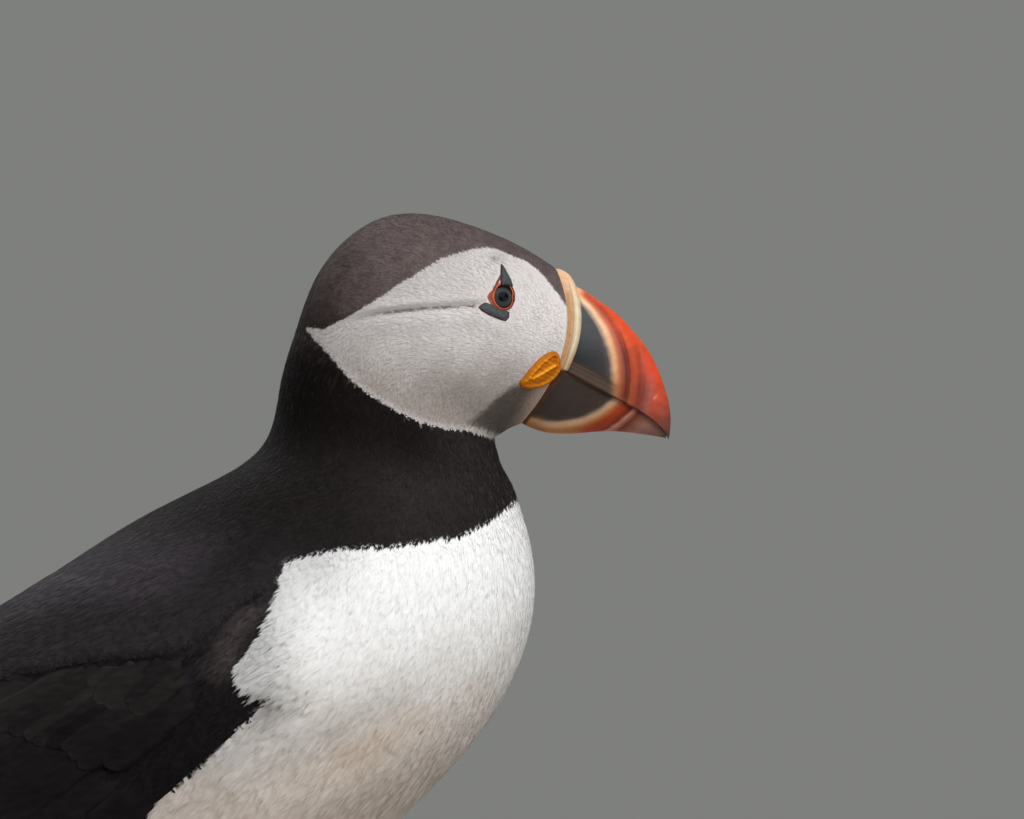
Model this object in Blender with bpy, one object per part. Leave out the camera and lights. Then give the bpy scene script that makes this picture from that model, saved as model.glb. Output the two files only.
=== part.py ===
"""Atlantic puffin, standing at rest: closed solids for each part a person would name.

The bird faces +X with its right side toward -Y and stands on Z = 0. Flesh is one loft whose
sections run from a point on the back line to a point on the belly line; head, neck, trunk and
rump are lengths of that loft. Sizes are in millimetres until a mesh is written in metres.
"""
import math

import bmesh
import bpy
import numpy as np

METRES = 0.001
GAP = 0.3

# Sections of the body: back point (x, z), belly point (x, z), half-width, low bias of the width.
SECTIONS = (
    ((98.0, 191.5), (90.5, 158.5), 8.6, 0.22),
    ((89.0, 197.0), (88.0, 157.5), 14.6, 0.06),
    ((74.0, 202.5), (85.5, 156.0), 18.4, 0.06),
    ((59.5, 202.0), (85.0, 155.5), 20.2, 0.05),
    ((48.0, 192.0), (85.0, 154.5), 20.6, 0.04),
    ((42.5, 179.0), (85.5, 152.5), 21.0, 0.02),
    ((39.0, 167.0), (86.5, 149.5), 22.4, 0.0),
    ((35.5, 154.5), (88.5, 146.0), 25.6, 0.0),
    ((23.5, 146.0), (90.5, 140.5), 31.5, 0.0),
    ((7.0, 137.5), (93.0, 130.5), 37.0, 0.0),
    ((-11.0, 126.0), (92.5, 115.0), 41.0, 0.0),
    ((-30.0, 114.5), (83.5, 95.0), 43.0, 0.0),
    ((-48.0, 103.5), (65.0, 74.5), 42.5, 0.0),
    ((-64.0, 93.0), (41.0, 53.0), 39.5, 0.0),
    ((-77.0, 84.5), (13.0, 37.0), 34.0, 0.0),
    ((-87.0, 77.5), (-19.0, 31.5), 27.5, 0.0),
    ((-94.0, 72.5), (-51.0, 38.5), 21.0, -0.1),
    ((-99.5, 68.0), (-80.0, 51.0), 15.0, -0.2),
)
HEAD_END = 5.0
NECK_END = 8.0
TRUNK_END = 13.6
RUMP_END = 17.0
FACE_BULGE = 5.3
ROUND_COLUMNS = 28

# Bill stations: upper point (x, z), lower point (x, z), half-width, forward bow of the side.
CERE = (
    ((98.3, 191.2), (98.6, 169.8), 7.8, 2.2),
    ((99.9, 190.7), (99.2, 169.9), 8.7, 2.1),
    ((101.4, 189.4), (99.8, 169.9), 8.9, 2.0),
    ((102.2, 187.6), (100.3, 169.8), 8.1, 1.9),
)
UPPER_BILL = (
    ((102.5, 187.4), (100.6, 169.8), 7.7, 1.9),
    ((106.2, 185.1), (104.4, 167.4), 7.4, 2.8),
    ((110.5, 182.1), (109.1, 164.9), 6.6, 3.0),
    ((114.1, 178.3), (113.1, 162.7), 5.7, 2.8),
    ((117.3, 174.2), (116.3, 160.8), 4.7, 2.2),
    ((119.6, 169.6), (118.8, 159.0), 3.7, 1.5),
    ((121.3, 164.5), (120.5, 157.5), 2.7, 0.9),
    ((122.1, 159.8), (121.4, 156.2), 1.7, 0.4),
    ((121.9, 155.9), (121.7, 155.2), 0.7, 0.0),
)
LOWER_BILL = (
    ((98.0, 168.0), (90.8, 158.6), 7.4, 0.6),
    ((101.8, 167.4), (95.8, 156.7), 7.0, 1.2),
    ((106.4, 165.5), (103.0, 156.6), 6.2, 1.4),
    ((110.9, 163.1), (108.8, 157.0), 5.1, 1.2),
    ((115.1, 160.7), (114.1, 156.6), 3.7, 0.8),
    ((118.8, 158.3), (118.4, 156.0), 2.1, 0.3),
    ((120.9, 156.2), (120.8, 155.5), 0.8, 0.0),
)

EYE = (86.6, 185.5)
EYE_RADIUS = 4.3
EYE_SHOW = 0.7
LID_HALF = (2.35, 2.65)
LID_TUBE = 0.55
LID_STEPS = 14
PLATE_UPPER = ((85.9, 190.0), (86.2, 189.2), (88.6, 188.9), (88.2, 189.9), (87.0, 191.9))
PLATE_LOWER = ((81.2, 183.5), (82.0, 181.9), (84.2, 180.6), (87.0, 180.0), (87.9, 180.9), (85.0, 182.0))
PLATE_RISE = (0.5, 0.7)
PLATE_SINK = 0.8

# Folded pad at the corner of the gape: centre, half-length and half-height, lean, height, depth.
ROSETTE = (93.9, 170.6)
ROSETTE_HALF = (3.7, 2.6)
ROSETTE_LEAN = (0.7, 1.5)
ROSETTE_RISE = 1.5
ROSETTE_SINK = 1.0
PAD_RINGS = 3

# Wing patch on the body: section, angle of its upper edge, angle of its lower edge.
WING_EDGES = (
    (9.35, 72.0, 88.0),
    (10.0, 62.0, 94.0),
    (11.0, 51.0, 100.0),
    (12.0, 44.0, 103.0),
    (13.0, 41.0, 104.0),
    (14.0, 40.0, 101.0),
    (14.8, 48.0, 90.0),
)
WING_RISE = 2.0
WING_SINK = 1.8
EDGE_THICKNESS = 0.8
PRIMARY_TIP = (-110.0, 8.5, 61.0)
PRIMARY_STEPS = 7

TAIL_TIP = (-122.2, 54.5)
TAIL_TIP_HEIGHT = 1.2
TAIL_HALF_WIDTH = (14.5, 20.5)
TAIL_CORNER = 0.75

LEG_SIDE = 20.0
# Feathered thigh: x, height, half-length and half-width of each section above the hock.
THIGH = (
    (0.0, 47.0, 12.0, 9.5),
    (-1.0, 40.0, 10.5, 8.5),
    (-2.5, 34.0, 7.5, 6.2),
    (-3.5, 30.0, 4.6, 4.0),
    (-3.5, 27.8, 3.2, 2.9),
)
SHANK_HALF = (2.6, 2.0)
SHANK_KNOB = 0.35
HOCK = (-3.5, 27.5)
ANKLE = (2.0, 4.0)
TOE_TURN = math.radians(8.0)
TOE_ANGLES = (-24.0, 0.0, 23.0)
TOE_LENGTHS = (32.5, 38.0, 36.0)
WEB_LENGTHS = (29.5, 31.0)
TOE_HEIGHT = 3.6
TOE_HALF_WIDTH = 1.7
TOE_EDGE = math.radians(4.5)
WEB_HEIGHT = 1.0
HEEL = -4.0
HEEL_HALF_WIDTH = 3.4
MOUND_HEIGHT = 5.0
CLAW_LENGTH = 6.5
CLAW_RADIUS = 1.3
CLAW_ROOT_HEIGHT = 1.75
CLAW_DROP = 1.15

COLOURS = {
    "cap": (0.055, 0.048, 0.05, 0.75),
    "collar": (0.012, 0.011, 0.012, 0.7),
    "white": (0.80, 0.79, 0.77, 0.8),
    "wing_black": (0.020, 0.019, 0.021, 0.55),
    "slate": (0.045, 0.052, 0.06, 0.45),
    "red": (0.75, 0.10, 0.035, 0.4),
    "cream": (0.70, 0.52, 0.30, 0.5),
    "orange": (0.90, 0.36, 0.02, 0.5),
    "iris": (0.035, 0.018, 0.012, 0.08),
    "lid": (0.60, 0.12, 0.04, 0.5),
    "foot_orange": (0.80, 0.20, 0.03, 0.5),
    "claw": (0.015, 0.013, 0.012, 0.35),
}


def spline(values, at):
    """Natural cubic spline through the values at 0, 1, 2 ..., read at the given places."""
    values = np.asarray(values, float)
    count = len(values)
    matrix = np.eye(count)
    right = np.zeros_like(values)
    for i in range(1, count - 1):
        matrix[i, i - 1:i + 2] = (1.0, 4.0, 1.0)
        right[i] = 6.0 * (values[i + 1] - 2.0 * values[i] + values[i - 1])
    bend = np.linalg.solve(matrix, right)
    at = np.asarray(at, float)
    low = np.clip(at.astype(int), 0, count - 2)
    f = (at - low).reshape(at.shape + (1,) * (values.ndim - 1))
    g = 1.0 - f
    return (g * values[low] + f * values[low + 1]
            + ((g ** 3 - g) * bend[low] + (f ** 3 - f) * bend[low + 1]) / 6.0)


def body_shape(s, angle):
    """Points of the body at section s and angle from the back (0) past the side to the belly (pi)."""
    back = spline([row[0] for row in SECTIONS], s)
    belly = spline([row[1] for row in SECTIONS], s)
    width = spline([row[2] for row in SECTIONS], s)
    bias = spline([row[3] for row in SECTIONS], s)
    fall = (1.0 - np.cos(angle)) / 2.0
    flat = back + (belly - back) * fall[..., None]
    forward = FACE_BULGE * np.sin(angle) ** 2 * np.clip(1.0 - s / 1.6, 0.0, 1.0) ** 1.5
    side = width * np.sin(angle) * (1.0 - bias * np.cos(angle))
    return np.stack([flat[..., 0] + forward, side, flat[..., 1]], axis=-1)


def body_points(s, angle, offset=0.0):
    """Points of the body moved out along its normal by the offset."""
    s, angle, offset = np.broadcast_arrays(np.asarray(s, float), np.asarray(angle, float), offset)
    step = 0.02
    low = np.clip(s, step, len(SECTIONS) - 1 - step)
    along = body_shape(low + step, angle) - body_shape(low - step, angle)
    around = body_shape(s, angle + step) - body_shape(s, angle - step)
    normal = np.cross(around, along)
    normal /= np.linalg.norm(normal, axis=-1, keepdims=True)
    return body_shape(s, angle) + normal * np.asarray(offset)[..., None]


def opposite(index, size, has_pole):
    """The point of a loop that faces this one across the section."""
    return (size - index) % size if has_pole else size - 1 - index


def loft(name, rows, colour, has_pole=True, side=1.0):
    """A closed solid through loops of points, its two ends ruled straight across."""
    rows = np.array(rows, float)
    rows[..., 1] *= side
    count, size = rows.shape[:2]
    faces = []
    for i in range(count - 1):
        for j in range(size):
            k = (j + 1) % size
            faces.append((i * size + j, i * size + k, (i + 1) * size + k, (i + 1) * size + j))
    for base in (0, (count - 1) * size):
        for j in range(size // 2 if has_pole else (size - 1) // 2):
            loop = [j, j + 1, opposite(j + 1, size, has_pole), opposite(j, size, has_pole)]
            faces.append(tuple(dict.fromkeys(base + k for k in loop)))
    return solid(name, rows.reshape(-1, 3), faces, colour)


def solid(name, points, faces, colour):
    """A smooth-shaded object in metres with its faces turned outward."""
    mesh = bpy.data.meshes.new(name)
    mesh.from_pydata([tuple(p) for p in np.asarray(points) * METRES], [], faces)
    builder = bmesh.new()
    builder.from_mesh(mesh)
    bmesh.ops.recalc_face_normals(builder, faces=builder.faces)
    builder.to_mesh(mesh)
    builder.free()
    mesh.shade_smooth()
    mesh.set_sharp_from_angle(angle=math.radians(50.0))
    body = bpy.data.objects.new(name, mesh)
    bpy.context.collection.objects.link(body)
    mesh.materials.append(material(colour))
    return body


def material(name):
    """The named finish, made once."""
    found = bpy.data.materials.get(name)
    if found:
        return found
    red, green, blue, roughness = COLOURS[name]
    made = bpy.data.materials.new(name)
    made.use_nodes = True
    shader = made.node_tree.nodes["Principled BSDF"]
    shader.inputs["Base Color"].default_value = (red, green, blue, 1.0)
    shader.inputs["Roughness"].default_value = roughness
    shader.inputs["Metallic"].default_value = 0.0
    return made


def swollen(body):
    """A hidden copy of a solid, larger by the gap on every side, to cut its neighbours with."""
    cutter = bpy.data.objects.new("cutter_" + body.name, body.data.copy())
    bpy.context.collection.objects.link(cutter)
    shape = bmesh.new()
    shape.from_mesh(cutter.data)
    shape.normal_update()
    for vertex in shape.verts:
        lift = vertex.calc_shell_factor()
        vertex.co += vertex.normal * GAP * METRES * min(lift, 2.0)
    shape.to_mesh(cutter.data)
    shape.free()
    cutter.hide_render = True
    cutter.display_type = "WIRE"
    return cutter


def cut(body, cutter):
    """Take the cutter's room out of a solid."""
    change = body.modifiers.new("room_" + cutter.name, "BOOLEAN")
    change.object = cutter
    change.operation = "DIFFERENCE"
    change.solver = "EXACT"


def body_length(name, start, end, steps, colour):
    """One length of the body loft, its cut ends drawn back by half the gap."""
    angle = np.arange(ROUND_COLUMNS) * 2.0 * math.pi / ROUND_COLUMNS
    rows = [body_points(s, angle) for s in np.linspace(start, end, steps)]
    for index, sign in ((0, 1.0), (-1, -1.0)):
        row = rows[index]
        inward = np.cross(row[0] - row[ROUND_COLUMNS // 2], (0.0, 1.0, 0.0))
        inward *= sign * GAP / 2.0 / np.linalg.norm(inward)
        if index == 0 and start == 0.0:
            continue
        rows[index] = row + inward
    return loft(name, rows, colour)


def bill_rows(stations, ridge_above, steps=7):
    """Loops of a bill half: a rounded ridge at one edge, a flat cutting edge at the other."""
    rows = []
    for upper, lower, half_width, bow in stations:
        ridge, edge = (upper, lower) if ridge_above else (lower, upper)
        share = (np.arange(steps + 1) / steps) ** 1.4
        width = half_width * (1.0 - (1.0 - share) ** 1.7) ** 0.62
        x = ridge[0] + (edge[0] - ridge[0]) * share + bow * 4.0 * share * (1.0 - share)
        z = ridge[1] + (edge[1] - ridge[1]) * share
        one = np.stack([x, width, z], axis=-1)
        other = one[:0:-1] * (1.0, -1.0, 1.0)
        rows.append(np.concatenate([one, other]))
    return rows


def make_bill():
    """The cere band and the two halves of the bill, parted along the gape."""
    cere = loft("bill_cere", bill_rows(CERE, True), "cream")
    upper = loft("bill_upper", bill_rows(UPPER_BILL, True), "red")
    lower = loft("bill_lower", bill_rows(LOWER_BILL, False), "slate")
    return cere, upper, lower


def locate(x, z):
    """The section and angle of the body's surface point seen at this x and z from the side."""
    s = np.linspace(0.0, len(SECTIONS) - 1.0, 341)[:, None]
    angle = np.radians(np.linspace(4.0, 176.0, 173))[None, :]
    s, angle = np.broadcast_arrays(s, angle)
    points = body_shape(s, angle)
    near = np.argmin((points[..., 0] - x) ** 2 + (points[..., 2] - z) ** 2)
    return s.flat[near], angle.flat[near]


def surface_frame(x, z):
    """A surface point with the outward normal there."""
    s, angle = locate(x, z)
    point = body_points(s, angle)
    return point, body_points(s, angle, 1.0) - point


def pad_rows(outline, rise, sink):
    """Loops of a pad laid on the body: the outline below, drawn in step by step above."""
    outline = np.asarray(outline, float)
    middle = outline.mean(axis=0)
    rows = []
    for i in range(PAD_RINGS + 1):
        share = i / PAD_RINGS
        shrink = math.sqrt(1.0 - (share * 0.9) ** 2)
        places = middle + (outline - middle) * shrink
        loop = []
        for x, z in places:
            point, normal = surface_frame(x, z)
            loop.append(point + normal * (-sink + (rise + sink) * share))
        rows.append(loop)
    return rows


def make_eye(name, side):
    """Eyeball, lid ring and the two horn plates of one eye."""
    place, normal = surface_frame(*EYE)
    centre = place - normal * (EYE_RADIUS - EYE_SHOW)
    rows = []
    for step in range(1, 9):
        turn = math.pi * step / 9
        ring = np.arange(12) * 2.0 * math.pi / 12
        x = centre[0] + EYE_RADIUS * math.sin(turn) * np.cos(ring)
        z = centre[2] + EYE_RADIUS * math.sin(turn) * np.sin(ring)
        y = centre[1] + EYE_RADIUS * math.cos(turn) + 0.0 * ring
        rows.append(np.stack([x, y, z], axis=-1))
    eye = loft("eye_" + name, rows, "iris", side=side)
    rows = []
    for step in range(LID_STEPS):
        turn = 2.0 * math.pi * step / LID_STEPS
        bend = 1.0 + 0.10 * math.cos(3.0 * turn - 2.4)
        x = LID_HALF[0] * bend * math.cos(turn)
        z = LID_HALF[1] * bend * math.sin(turn)
        point, up = surface_frame(EYE[0] + x, EYE[1] + z)
        radial = np.array([math.cos(turn), 0.0, math.sin(turn)])
        loop = [point + (radial * math.cos(a) + up * math.sin(a)) * LID_TUBE
                for a in np.arange(5) * math.pi / 2.5]
        rows.append(loop)
    lid = ring_solid("eyelid_" + name, rows, "lid", side)
    upper = pad_rows(PLATE_UPPER, PLATE_RISE[0], PLATE_SINK)
    plate_upper = loft("eye_plate_upper_" + name, upper, "slate", has_pole=False, side=side)
    lower = pad_rows(PLATE_LOWER, PLATE_RISE[1], PLATE_SINK)
    plate_lower = loft("eye_plate_lower_" + name, lower, "slate", has_pole=False, side=side)
    return eye, lid, plate_upper, plate_lower


def ring_solid(name, rows, colour, side):
    """A closed ring through loops of points."""
    rows = np.array(rows, float)
    rows[..., 1] *= side
    count, size = rows.shape[:2]
    faces = []
    for i in range(count):
        n = (i + 1) % count
        for j in range(size):
            k = (j + 1) % size
            faces.append((i * size + j, i * size + k, n * size + k, n * size + j))
    return solid(name, rows.reshape(-1, 3), faces, colour)


def make_rosette(name, side):
    """The folded yellow pad at the corner of the gape."""
    turn = np.arange(14) * 2.0 * math.pi / 14
    x = ROSETTE[0] + ROSETTE_HALF[0] * np.cos(turn) + ROSETTE_LEAN[0] * np.sin(turn)
    z = ROSETTE[1] + ROSETTE_HALF[1] * np.sin(turn) + ROSETTE_LEAN[1] * np.cos(turn)
    rows = pad_rows(np.stack([x, z], axis=-1), ROSETTE_RISE, ROSETTE_SINK)
    return loft("rosette_" + name, rows, "orange", has_pole=False, side=side)


def wing_strip(s, upper, lower, rise, sink, columns=8):
    """One loop of a folded wing: outer face from upper to lower edge, inner face back."""
    share = np.linspace(0.0, 1.0, columns + 1)
    angle = upper + (lower - upper) * share
    hump = np.sin(math.pi * share) ** 0.7
    outer = body_points(s, angle, EDGE_THICKNESS + rise * hump)
    inner = body_points(s, angle, -sink * hump)
    return np.concatenate([outer, inner[::-1]])


def make_wing(name, side):
    """The folded wing with the scapulars that lie over it, then its long primaries."""
    stations = np.array(WING_EDGES)
    places = np.linspace(0.0, len(stations) - 1.0, 12)
    rows = []
    for s, upper, lower in spline(stations, places):
        grow = min(1.0, 0.35 + (s - stations[0, 0]) / 1.4)
        rows.append(wing_strip(s, math.radians(upper), math.radians(lower),
                               WING_RISE * grow, WING_SINK * grow))
    wing = loft("wing_" + name, rows, "wing_black", has_pole=False, side=side)
    start = wing_strip(stations[-1, 0], math.radians(50.0), math.radians(88.0), 1.2, 0.9, 6)
    middle = start.mean(axis=0)
    reach = np.array(PRIMARY_TIP) - middle
    direction = reach / np.linalg.norm(reach)
    blade = []
    for t in np.linspace(0.0, 1.0, PRIMARY_STEPS):
        centre = middle + direction * GAP * 1.5 + reach * t
        spread = 1.0 - 0.86 * t ** 1.5
        loop = (start - middle) * spread
        blade.append(centre + loop)
    primaries = loft("primaries_" + name, blade, "wing_black", has_pole=False, side=side)
    return wing, primaries


def make_tail():
    """The short blunt fan of the tail, its upper face carrying on the line of the back."""
    back, belly = np.array(SECTIONS[-1][0]), np.array(SECTIONS[-1][1])
    tip = np.array(TAIL_TIP)
    start = GAP / np.linalg.norm(tip - back)
    turn = np.arange(16) * 2.0 * math.pi / 16
    rows = []
    for t in (start, 0.25, 0.5, TAIL_CORNER, 0.9, 0.97, 1.0):
        upper = back + (tip - back) * t
        lower = belly + (tip - (0.0, TAIL_TIP_HEIGHT) - belly) * t
        half = TAIL_HALF_WIDTH[0] + (TAIL_HALF_WIDTH[1] - TAIL_HALF_WIDTH[0]) * min(t, TAIL_CORNER)
        half *= math.sqrt(1.0 - 0.6 * (max(t - TAIL_CORNER, 0.0) / (1.0 - TAIL_CORNER)) ** 2)
        centre, reach = (upper + lower) / 2.0, (upper - lower) / 2.0
        rows.append(np.stack([centre[0] + reach[0] * np.cos(turn), half * np.sin(turn),
                              centre[1] + reach[1] * np.cos(turn)], axis=-1))
    return loft("tail", rows, "wing_black")


def tube_rows(stations, count):
    """Loops of ovals over the leg's line: each station is x, height, half-length and half-width."""
    turn = np.arange(count) * 2.0 * math.pi / count
    rows = []
    for x, z, long_half, wide_half in stations:
        rows.append(np.stack([x + long_half * np.cos(turn), LEG_SIDE + wide_half * np.sin(turn),
                              z + 0.0 * turn], axis=-1))
    return rows


def make_leg(name, side):
    """Feathered thigh, bare shank, webbed foot and claws of one leg."""
    thigh = loft("thigh_" + name, tube_rows(THIGH, 16), "white", side=side)
    shank = []
    for t in np.linspace(0.0, 1.0, 7):
        knob = 1.0 + SHANK_KNOB * (2.0 * t - 1.0) ** 4
        x = HOCK[0] + (ANKLE[0] - HOCK[0]) * t
        z = HOCK[1] + (ANKLE[1] - HOCK[1]) * t
        shank.append((x, z, SHANK_HALF[0] * knob, SHANK_HALF[1] * knob))
    shank = loft("shank_" + name, tube_rows(shank, 12), "foot_orange", side=side)
    foot = make_foot(name, side)
    make_claws(name, side)
    return thigh, shank, foot


def foot_reach(angle):
    """How far the foot's edge lies from the ankle at an angle: long at toes, hollow between."""
    toes = np.radians(TOE_ANGLES)
    reach = np.interp(angle, toes, TOE_LENGTHS)
    for low, high, web in zip(toes[:-1], toes[1:], WEB_LENGTHS):
        inside = (angle > low) & (angle < high)
        share = (angle - low) / (high - low)
        hollow = np.clip(4.0 * share * (1.0 - share), 0.0, 1.0) ** 0.6
        reach = np.where(inside, reach + (web - reach) * hollow, reach)
    return reach


def make_foot(name, side):
    """Three toes joined by webs, flat below, with a mound that carries the shank."""
    toes = np.radians(TOE_ANGLES)
    angle = [toes[0] - TOE_EDGE]
    for low, high in zip(toes[:-1], toes[1:]):
        angle += [low, low + TOE_EDGE, (2.0 * low + high) / 3.0]
        angle += [(low + 2.0 * high) / 3.0, high - TOE_EDGE]
    angle = np.array(angle + [toes[-1], toes[-1] + TOE_EDGE])
    reach = foot_reach(np.clip(angle, toes[0], toes[-1])) - 1.2 * (
        (angle < toes[0]) | (angle > toes[-1]))
    share = np.array((0.0, 0.12, 0.27, 0.5, 0.75, 0.9, 1.0))
    radius = HEEL + (reach[None, :] - HEEL) * share[:, None]
    spread = np.maximum(radius, 0.0)
    heading = angle[None, :]
    heel = np.clip(1.0 - share[:, None] * 2.2, 0.0, 1.0)
    width = HEEL_HALF_WIDTH * np.linspace(-1.0, 1.0, len(angle))[None, :] * heel
    x = ANKLE[0] + np.where(radius > 0.0, spread * np.cos(heading), radius)
    y = spread * np.sin(heading) + width
    near = np.abs(heading[..., None] - toes).min(axis=-1)
    ridge = np.exp(-(near * np.maximum(radius, 4.0) / TOE_HALF_WIDTH) ** 2)
    mound = np.exp(-((radius - 1.0) / 6.5) ** 2)
    taper = 1.0 - 0.35 * share[:, None]
    height = WEB_HEIGHT + (TOE_HEIGHT * taper - WEB_HEIGHT) * ridge
    height = np.maximum(height, WEB_HEIGHT + MOUND_HEIGHT * mound * np.exp(-(y / 4.0) ** 2))
    turned_x = ANKLE[0] + (x - ANKLE[0]) * math.cos(TOE_TURN) - y * math.sin(TOE_TURN)
    turned_y = LEG_SIDE + (x - ANKLE[0]) * math.sin(TOE_TURN) + y * math.cos(TOE_TURN)
    top = np.stack([turned_x, turned_y * side, height], axis=-1)
    rows, columns = height.shape
    count = rows * columns
    faces = []
    for i in range(rows - 1):
        for j in range(columns - 1):
            a = i * columns + j
            faces.append((a, a + 1, a + columns + 1, a + columns))
    rim = ([j for j in range(columns)]
           + [i * columns + columns - 1 for i in range(1, rows)]
           + [(rows - 1) * columns + j for j in range(columns - 2, -1, -1)]
           + [i * columns for i in range(rows - 2, 0, -1)])
    floor = top.reshape(-1, 3)[rim] * (1.0, 1.0, 0.0)
    sole = [count + k for k in range(len(rim))]
    for k, start in enumerate(rim):
        after = (k + 1) % len(rim)
        faces.append((start, rim[after], sole[after], sole[k]))
    faces.append(tuple(sole[::-1]))
    return solid("foot_" + name, np.concatenate([top.reshape(-1, 3), floor]), faces, "foot_orange")


def make_claws(name, side):
    """A curved claw just beyond each toe."""
    for label, angle, length in zip(("inner", "middle", "outer"), TOE_ANGLES, TOE_LENGTHS):
        heading = math.radians(angle) + TOE_TURN
        base = length + GAP
        rows = []
        for t in np.linspace(0.0, 1.0, 6):
            out = base + CLAW_LENGTH * t
            radius = CLAW_RADIUS * (1.0 - 0.78 * t)
            height = CLAW_ROOT_HEIGHT - CLAW_DROP * t ** 2
            turn = np.arange(6) * math.pi / 3
            across = radius * 0.8 * np.cos(turn)
            x = ANKLE[0] + out * math.cos(heading) - across * math.sin(heading)
            y = LEG_SIDE + out * math.sin(heading) + across * math.cos(heading)
            z = height + radius * np.sin(turn)
            rows.append(np.stack([x, y, z], axis=-1))
        loft("claw_%s_%s" % (label, name), rows, "claw", side=side)


def make_puffin():
    """Every part, then the room each one needs in its neighbours."""
    head = body_length("head", 0.0, HEAD_END, 15, "cap")
    body_length("neck", HEAD_END, NECK_END, 7, "collar")
    trunk = body_length("trunk", NECK_END, TRUNK_END, 12, "white")
    rump = body_length("rump", TRUNK_END, RUMP_END, 8, "white")
    tail = make_tail()
    bill = make_bill()
    head_room = swollen(head)
    for piece in bill:
        cut(piece, head_room)
    for name, side in (("left", 1.0), ("right", -1.0)):
        eye, lid, plate_upper, plate_lower = make_eye(name, side)
        rosette = make_rosette(name, side)
        eye_room = swollen(eye)
        for piece in (head, lid, plate_upper, plate_lower):
            cut(piece, eye_room)
        for piece in (lid, plate_upper, plate_lower):
            cut(head, swollen(piece))
        rosette_room = swollen(rosette)
        for piece in (head, *bill):
            cut(piece, rosette_room)
        wing, primaries = make_wing(name, side)
        wing_room = swollen(wing)
        for piece in (trunk, rump):
            cut(piece, wing_room)
        primaries_room = swollen(primaries)
        for piece in (rump, tail):
            cut(piece, primaries_room)
        thigh, shank, foot = make_leg(name, side)
        thigh_room = swollen(thigh)
        for piece in (trunk, rump):
            cut(piece, thigh_room)
        cut(foot, swollen(shank))


for old in list(bpy.data.objects):
    bpy.data.objects.remove(old)
make_puffin()
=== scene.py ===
import math

import bpy
import numpy as np
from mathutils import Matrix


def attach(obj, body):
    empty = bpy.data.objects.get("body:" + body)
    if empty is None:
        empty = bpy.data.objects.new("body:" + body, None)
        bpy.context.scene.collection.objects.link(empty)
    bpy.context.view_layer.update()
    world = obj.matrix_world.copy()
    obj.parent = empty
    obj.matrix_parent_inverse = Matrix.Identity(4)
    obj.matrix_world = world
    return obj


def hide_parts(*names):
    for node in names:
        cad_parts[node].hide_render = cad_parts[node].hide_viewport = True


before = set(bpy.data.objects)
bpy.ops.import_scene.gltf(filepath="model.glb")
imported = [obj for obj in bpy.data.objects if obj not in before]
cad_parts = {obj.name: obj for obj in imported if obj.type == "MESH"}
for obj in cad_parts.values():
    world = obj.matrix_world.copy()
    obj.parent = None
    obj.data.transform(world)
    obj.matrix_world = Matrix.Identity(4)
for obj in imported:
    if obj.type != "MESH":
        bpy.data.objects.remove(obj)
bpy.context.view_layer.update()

TAU = 2.0 * math.pi
METRES = 0.001

# Sections of the body: back point x, z, belly point x, z, half-width, low bias of the width.
SECTIONS = np.array((
    (98.0, 191.5, 90.5, 158.5, 8.6, 0.22),
    (89.0, 197.0, 88.0, 157.5, 14.6, 0.06),
    (74.0, 202.5, 85.5, 156.0, 18.4, 0.06),
    (59.5, 202.0, 85.0, 155.5, 20.2, 0.05),
    (48.0, 192.0, 85.0, 154.5, 20.6, 0.04),
    (42.5, 179.0, 85.5, 152.5, 21.0, 0.02),
    (39.0, 167.0, 86.5, 149.5, 22.4, 0.0),
    (35.5, 154.5, 88.5, 146.0, 25.6, 0.0),
    (23.5, 146.0, 90.5, 140.5, 31.5, 0.0),
    (7.0, 137.5, 93.0, 130.5, 37.0, 0.0),
    (-11.0, 126.0, 92.5, 115.0, 41.0, 0.0),
    (-30.0, 114.5, 83.5, 95.0, 43.0, 0.0),
    (-48.0, 103.5, 65.0, 74.5, 42.5, 0.0),
    (-64.0, 93.0, 41.0, 53.0, 39.5, 0.0),
    (-77.0, 84.5, 13.0, 37.0, 34.0, 0.0),
    (-87.0, 77.5, -19.0, 31.5, 27.5, 0.0),
    (-94.0, 72.5, -51.0, 38.5, 21.0, -0.1),
    (-99.5, 68.0, -80.0, 51.0, 15.0, -0.2)))
LAST = len(SECTIONS) - 1.0
# How far the face's middle bulges forward between the back and the belly points of the first section.
FACE_BULGE = 5.3

# The eye's place seen from the side, its ball, and how far the ball stands out of the head.
EYE = (86.6, 185.5)
EYE_RADIUS = 4.3
EYE_SHOW = 0.85
# Eyes and gape pads lie farther than this from the head's middle plane.
HEAD_SIDE = 5.0

# Wing patch on the body: section, angle of its upper edge, angle of its lower edge.
WING_EDGES = np.array((
    (9.35, 72.0, 88.0), (10.0, 62.0, 94.0), (11.0, 51.0, 100.0), (12.0, 44.0, 103.0),
    (13.0, 41.0, 104.0), (14.0, 40.0, 101.0), (14.8, 48.0, 90.0)))
PRIMARY_TIP = np.array((-110.0, 8.5, 61.0))

# Legs: distance from the middle plane, hock and ankle from the side, how far the foot turns out, the
# angles and lengths of the toes and the lengths of the webs between them.
LEG_SIDE = 20.0
HOCK = (-3.5, 27.5)
ANKLE = (2.0, 4.0)
TOE_TURN = math.radians(8.0)
TOE_ANGLES = np.radians((-24.0, 0.0, 23.0))
TOE_LENGTHS = (32.5, 38.0, 36.0)
WEB_LENGTHS = (29.5, 31.0)

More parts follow.
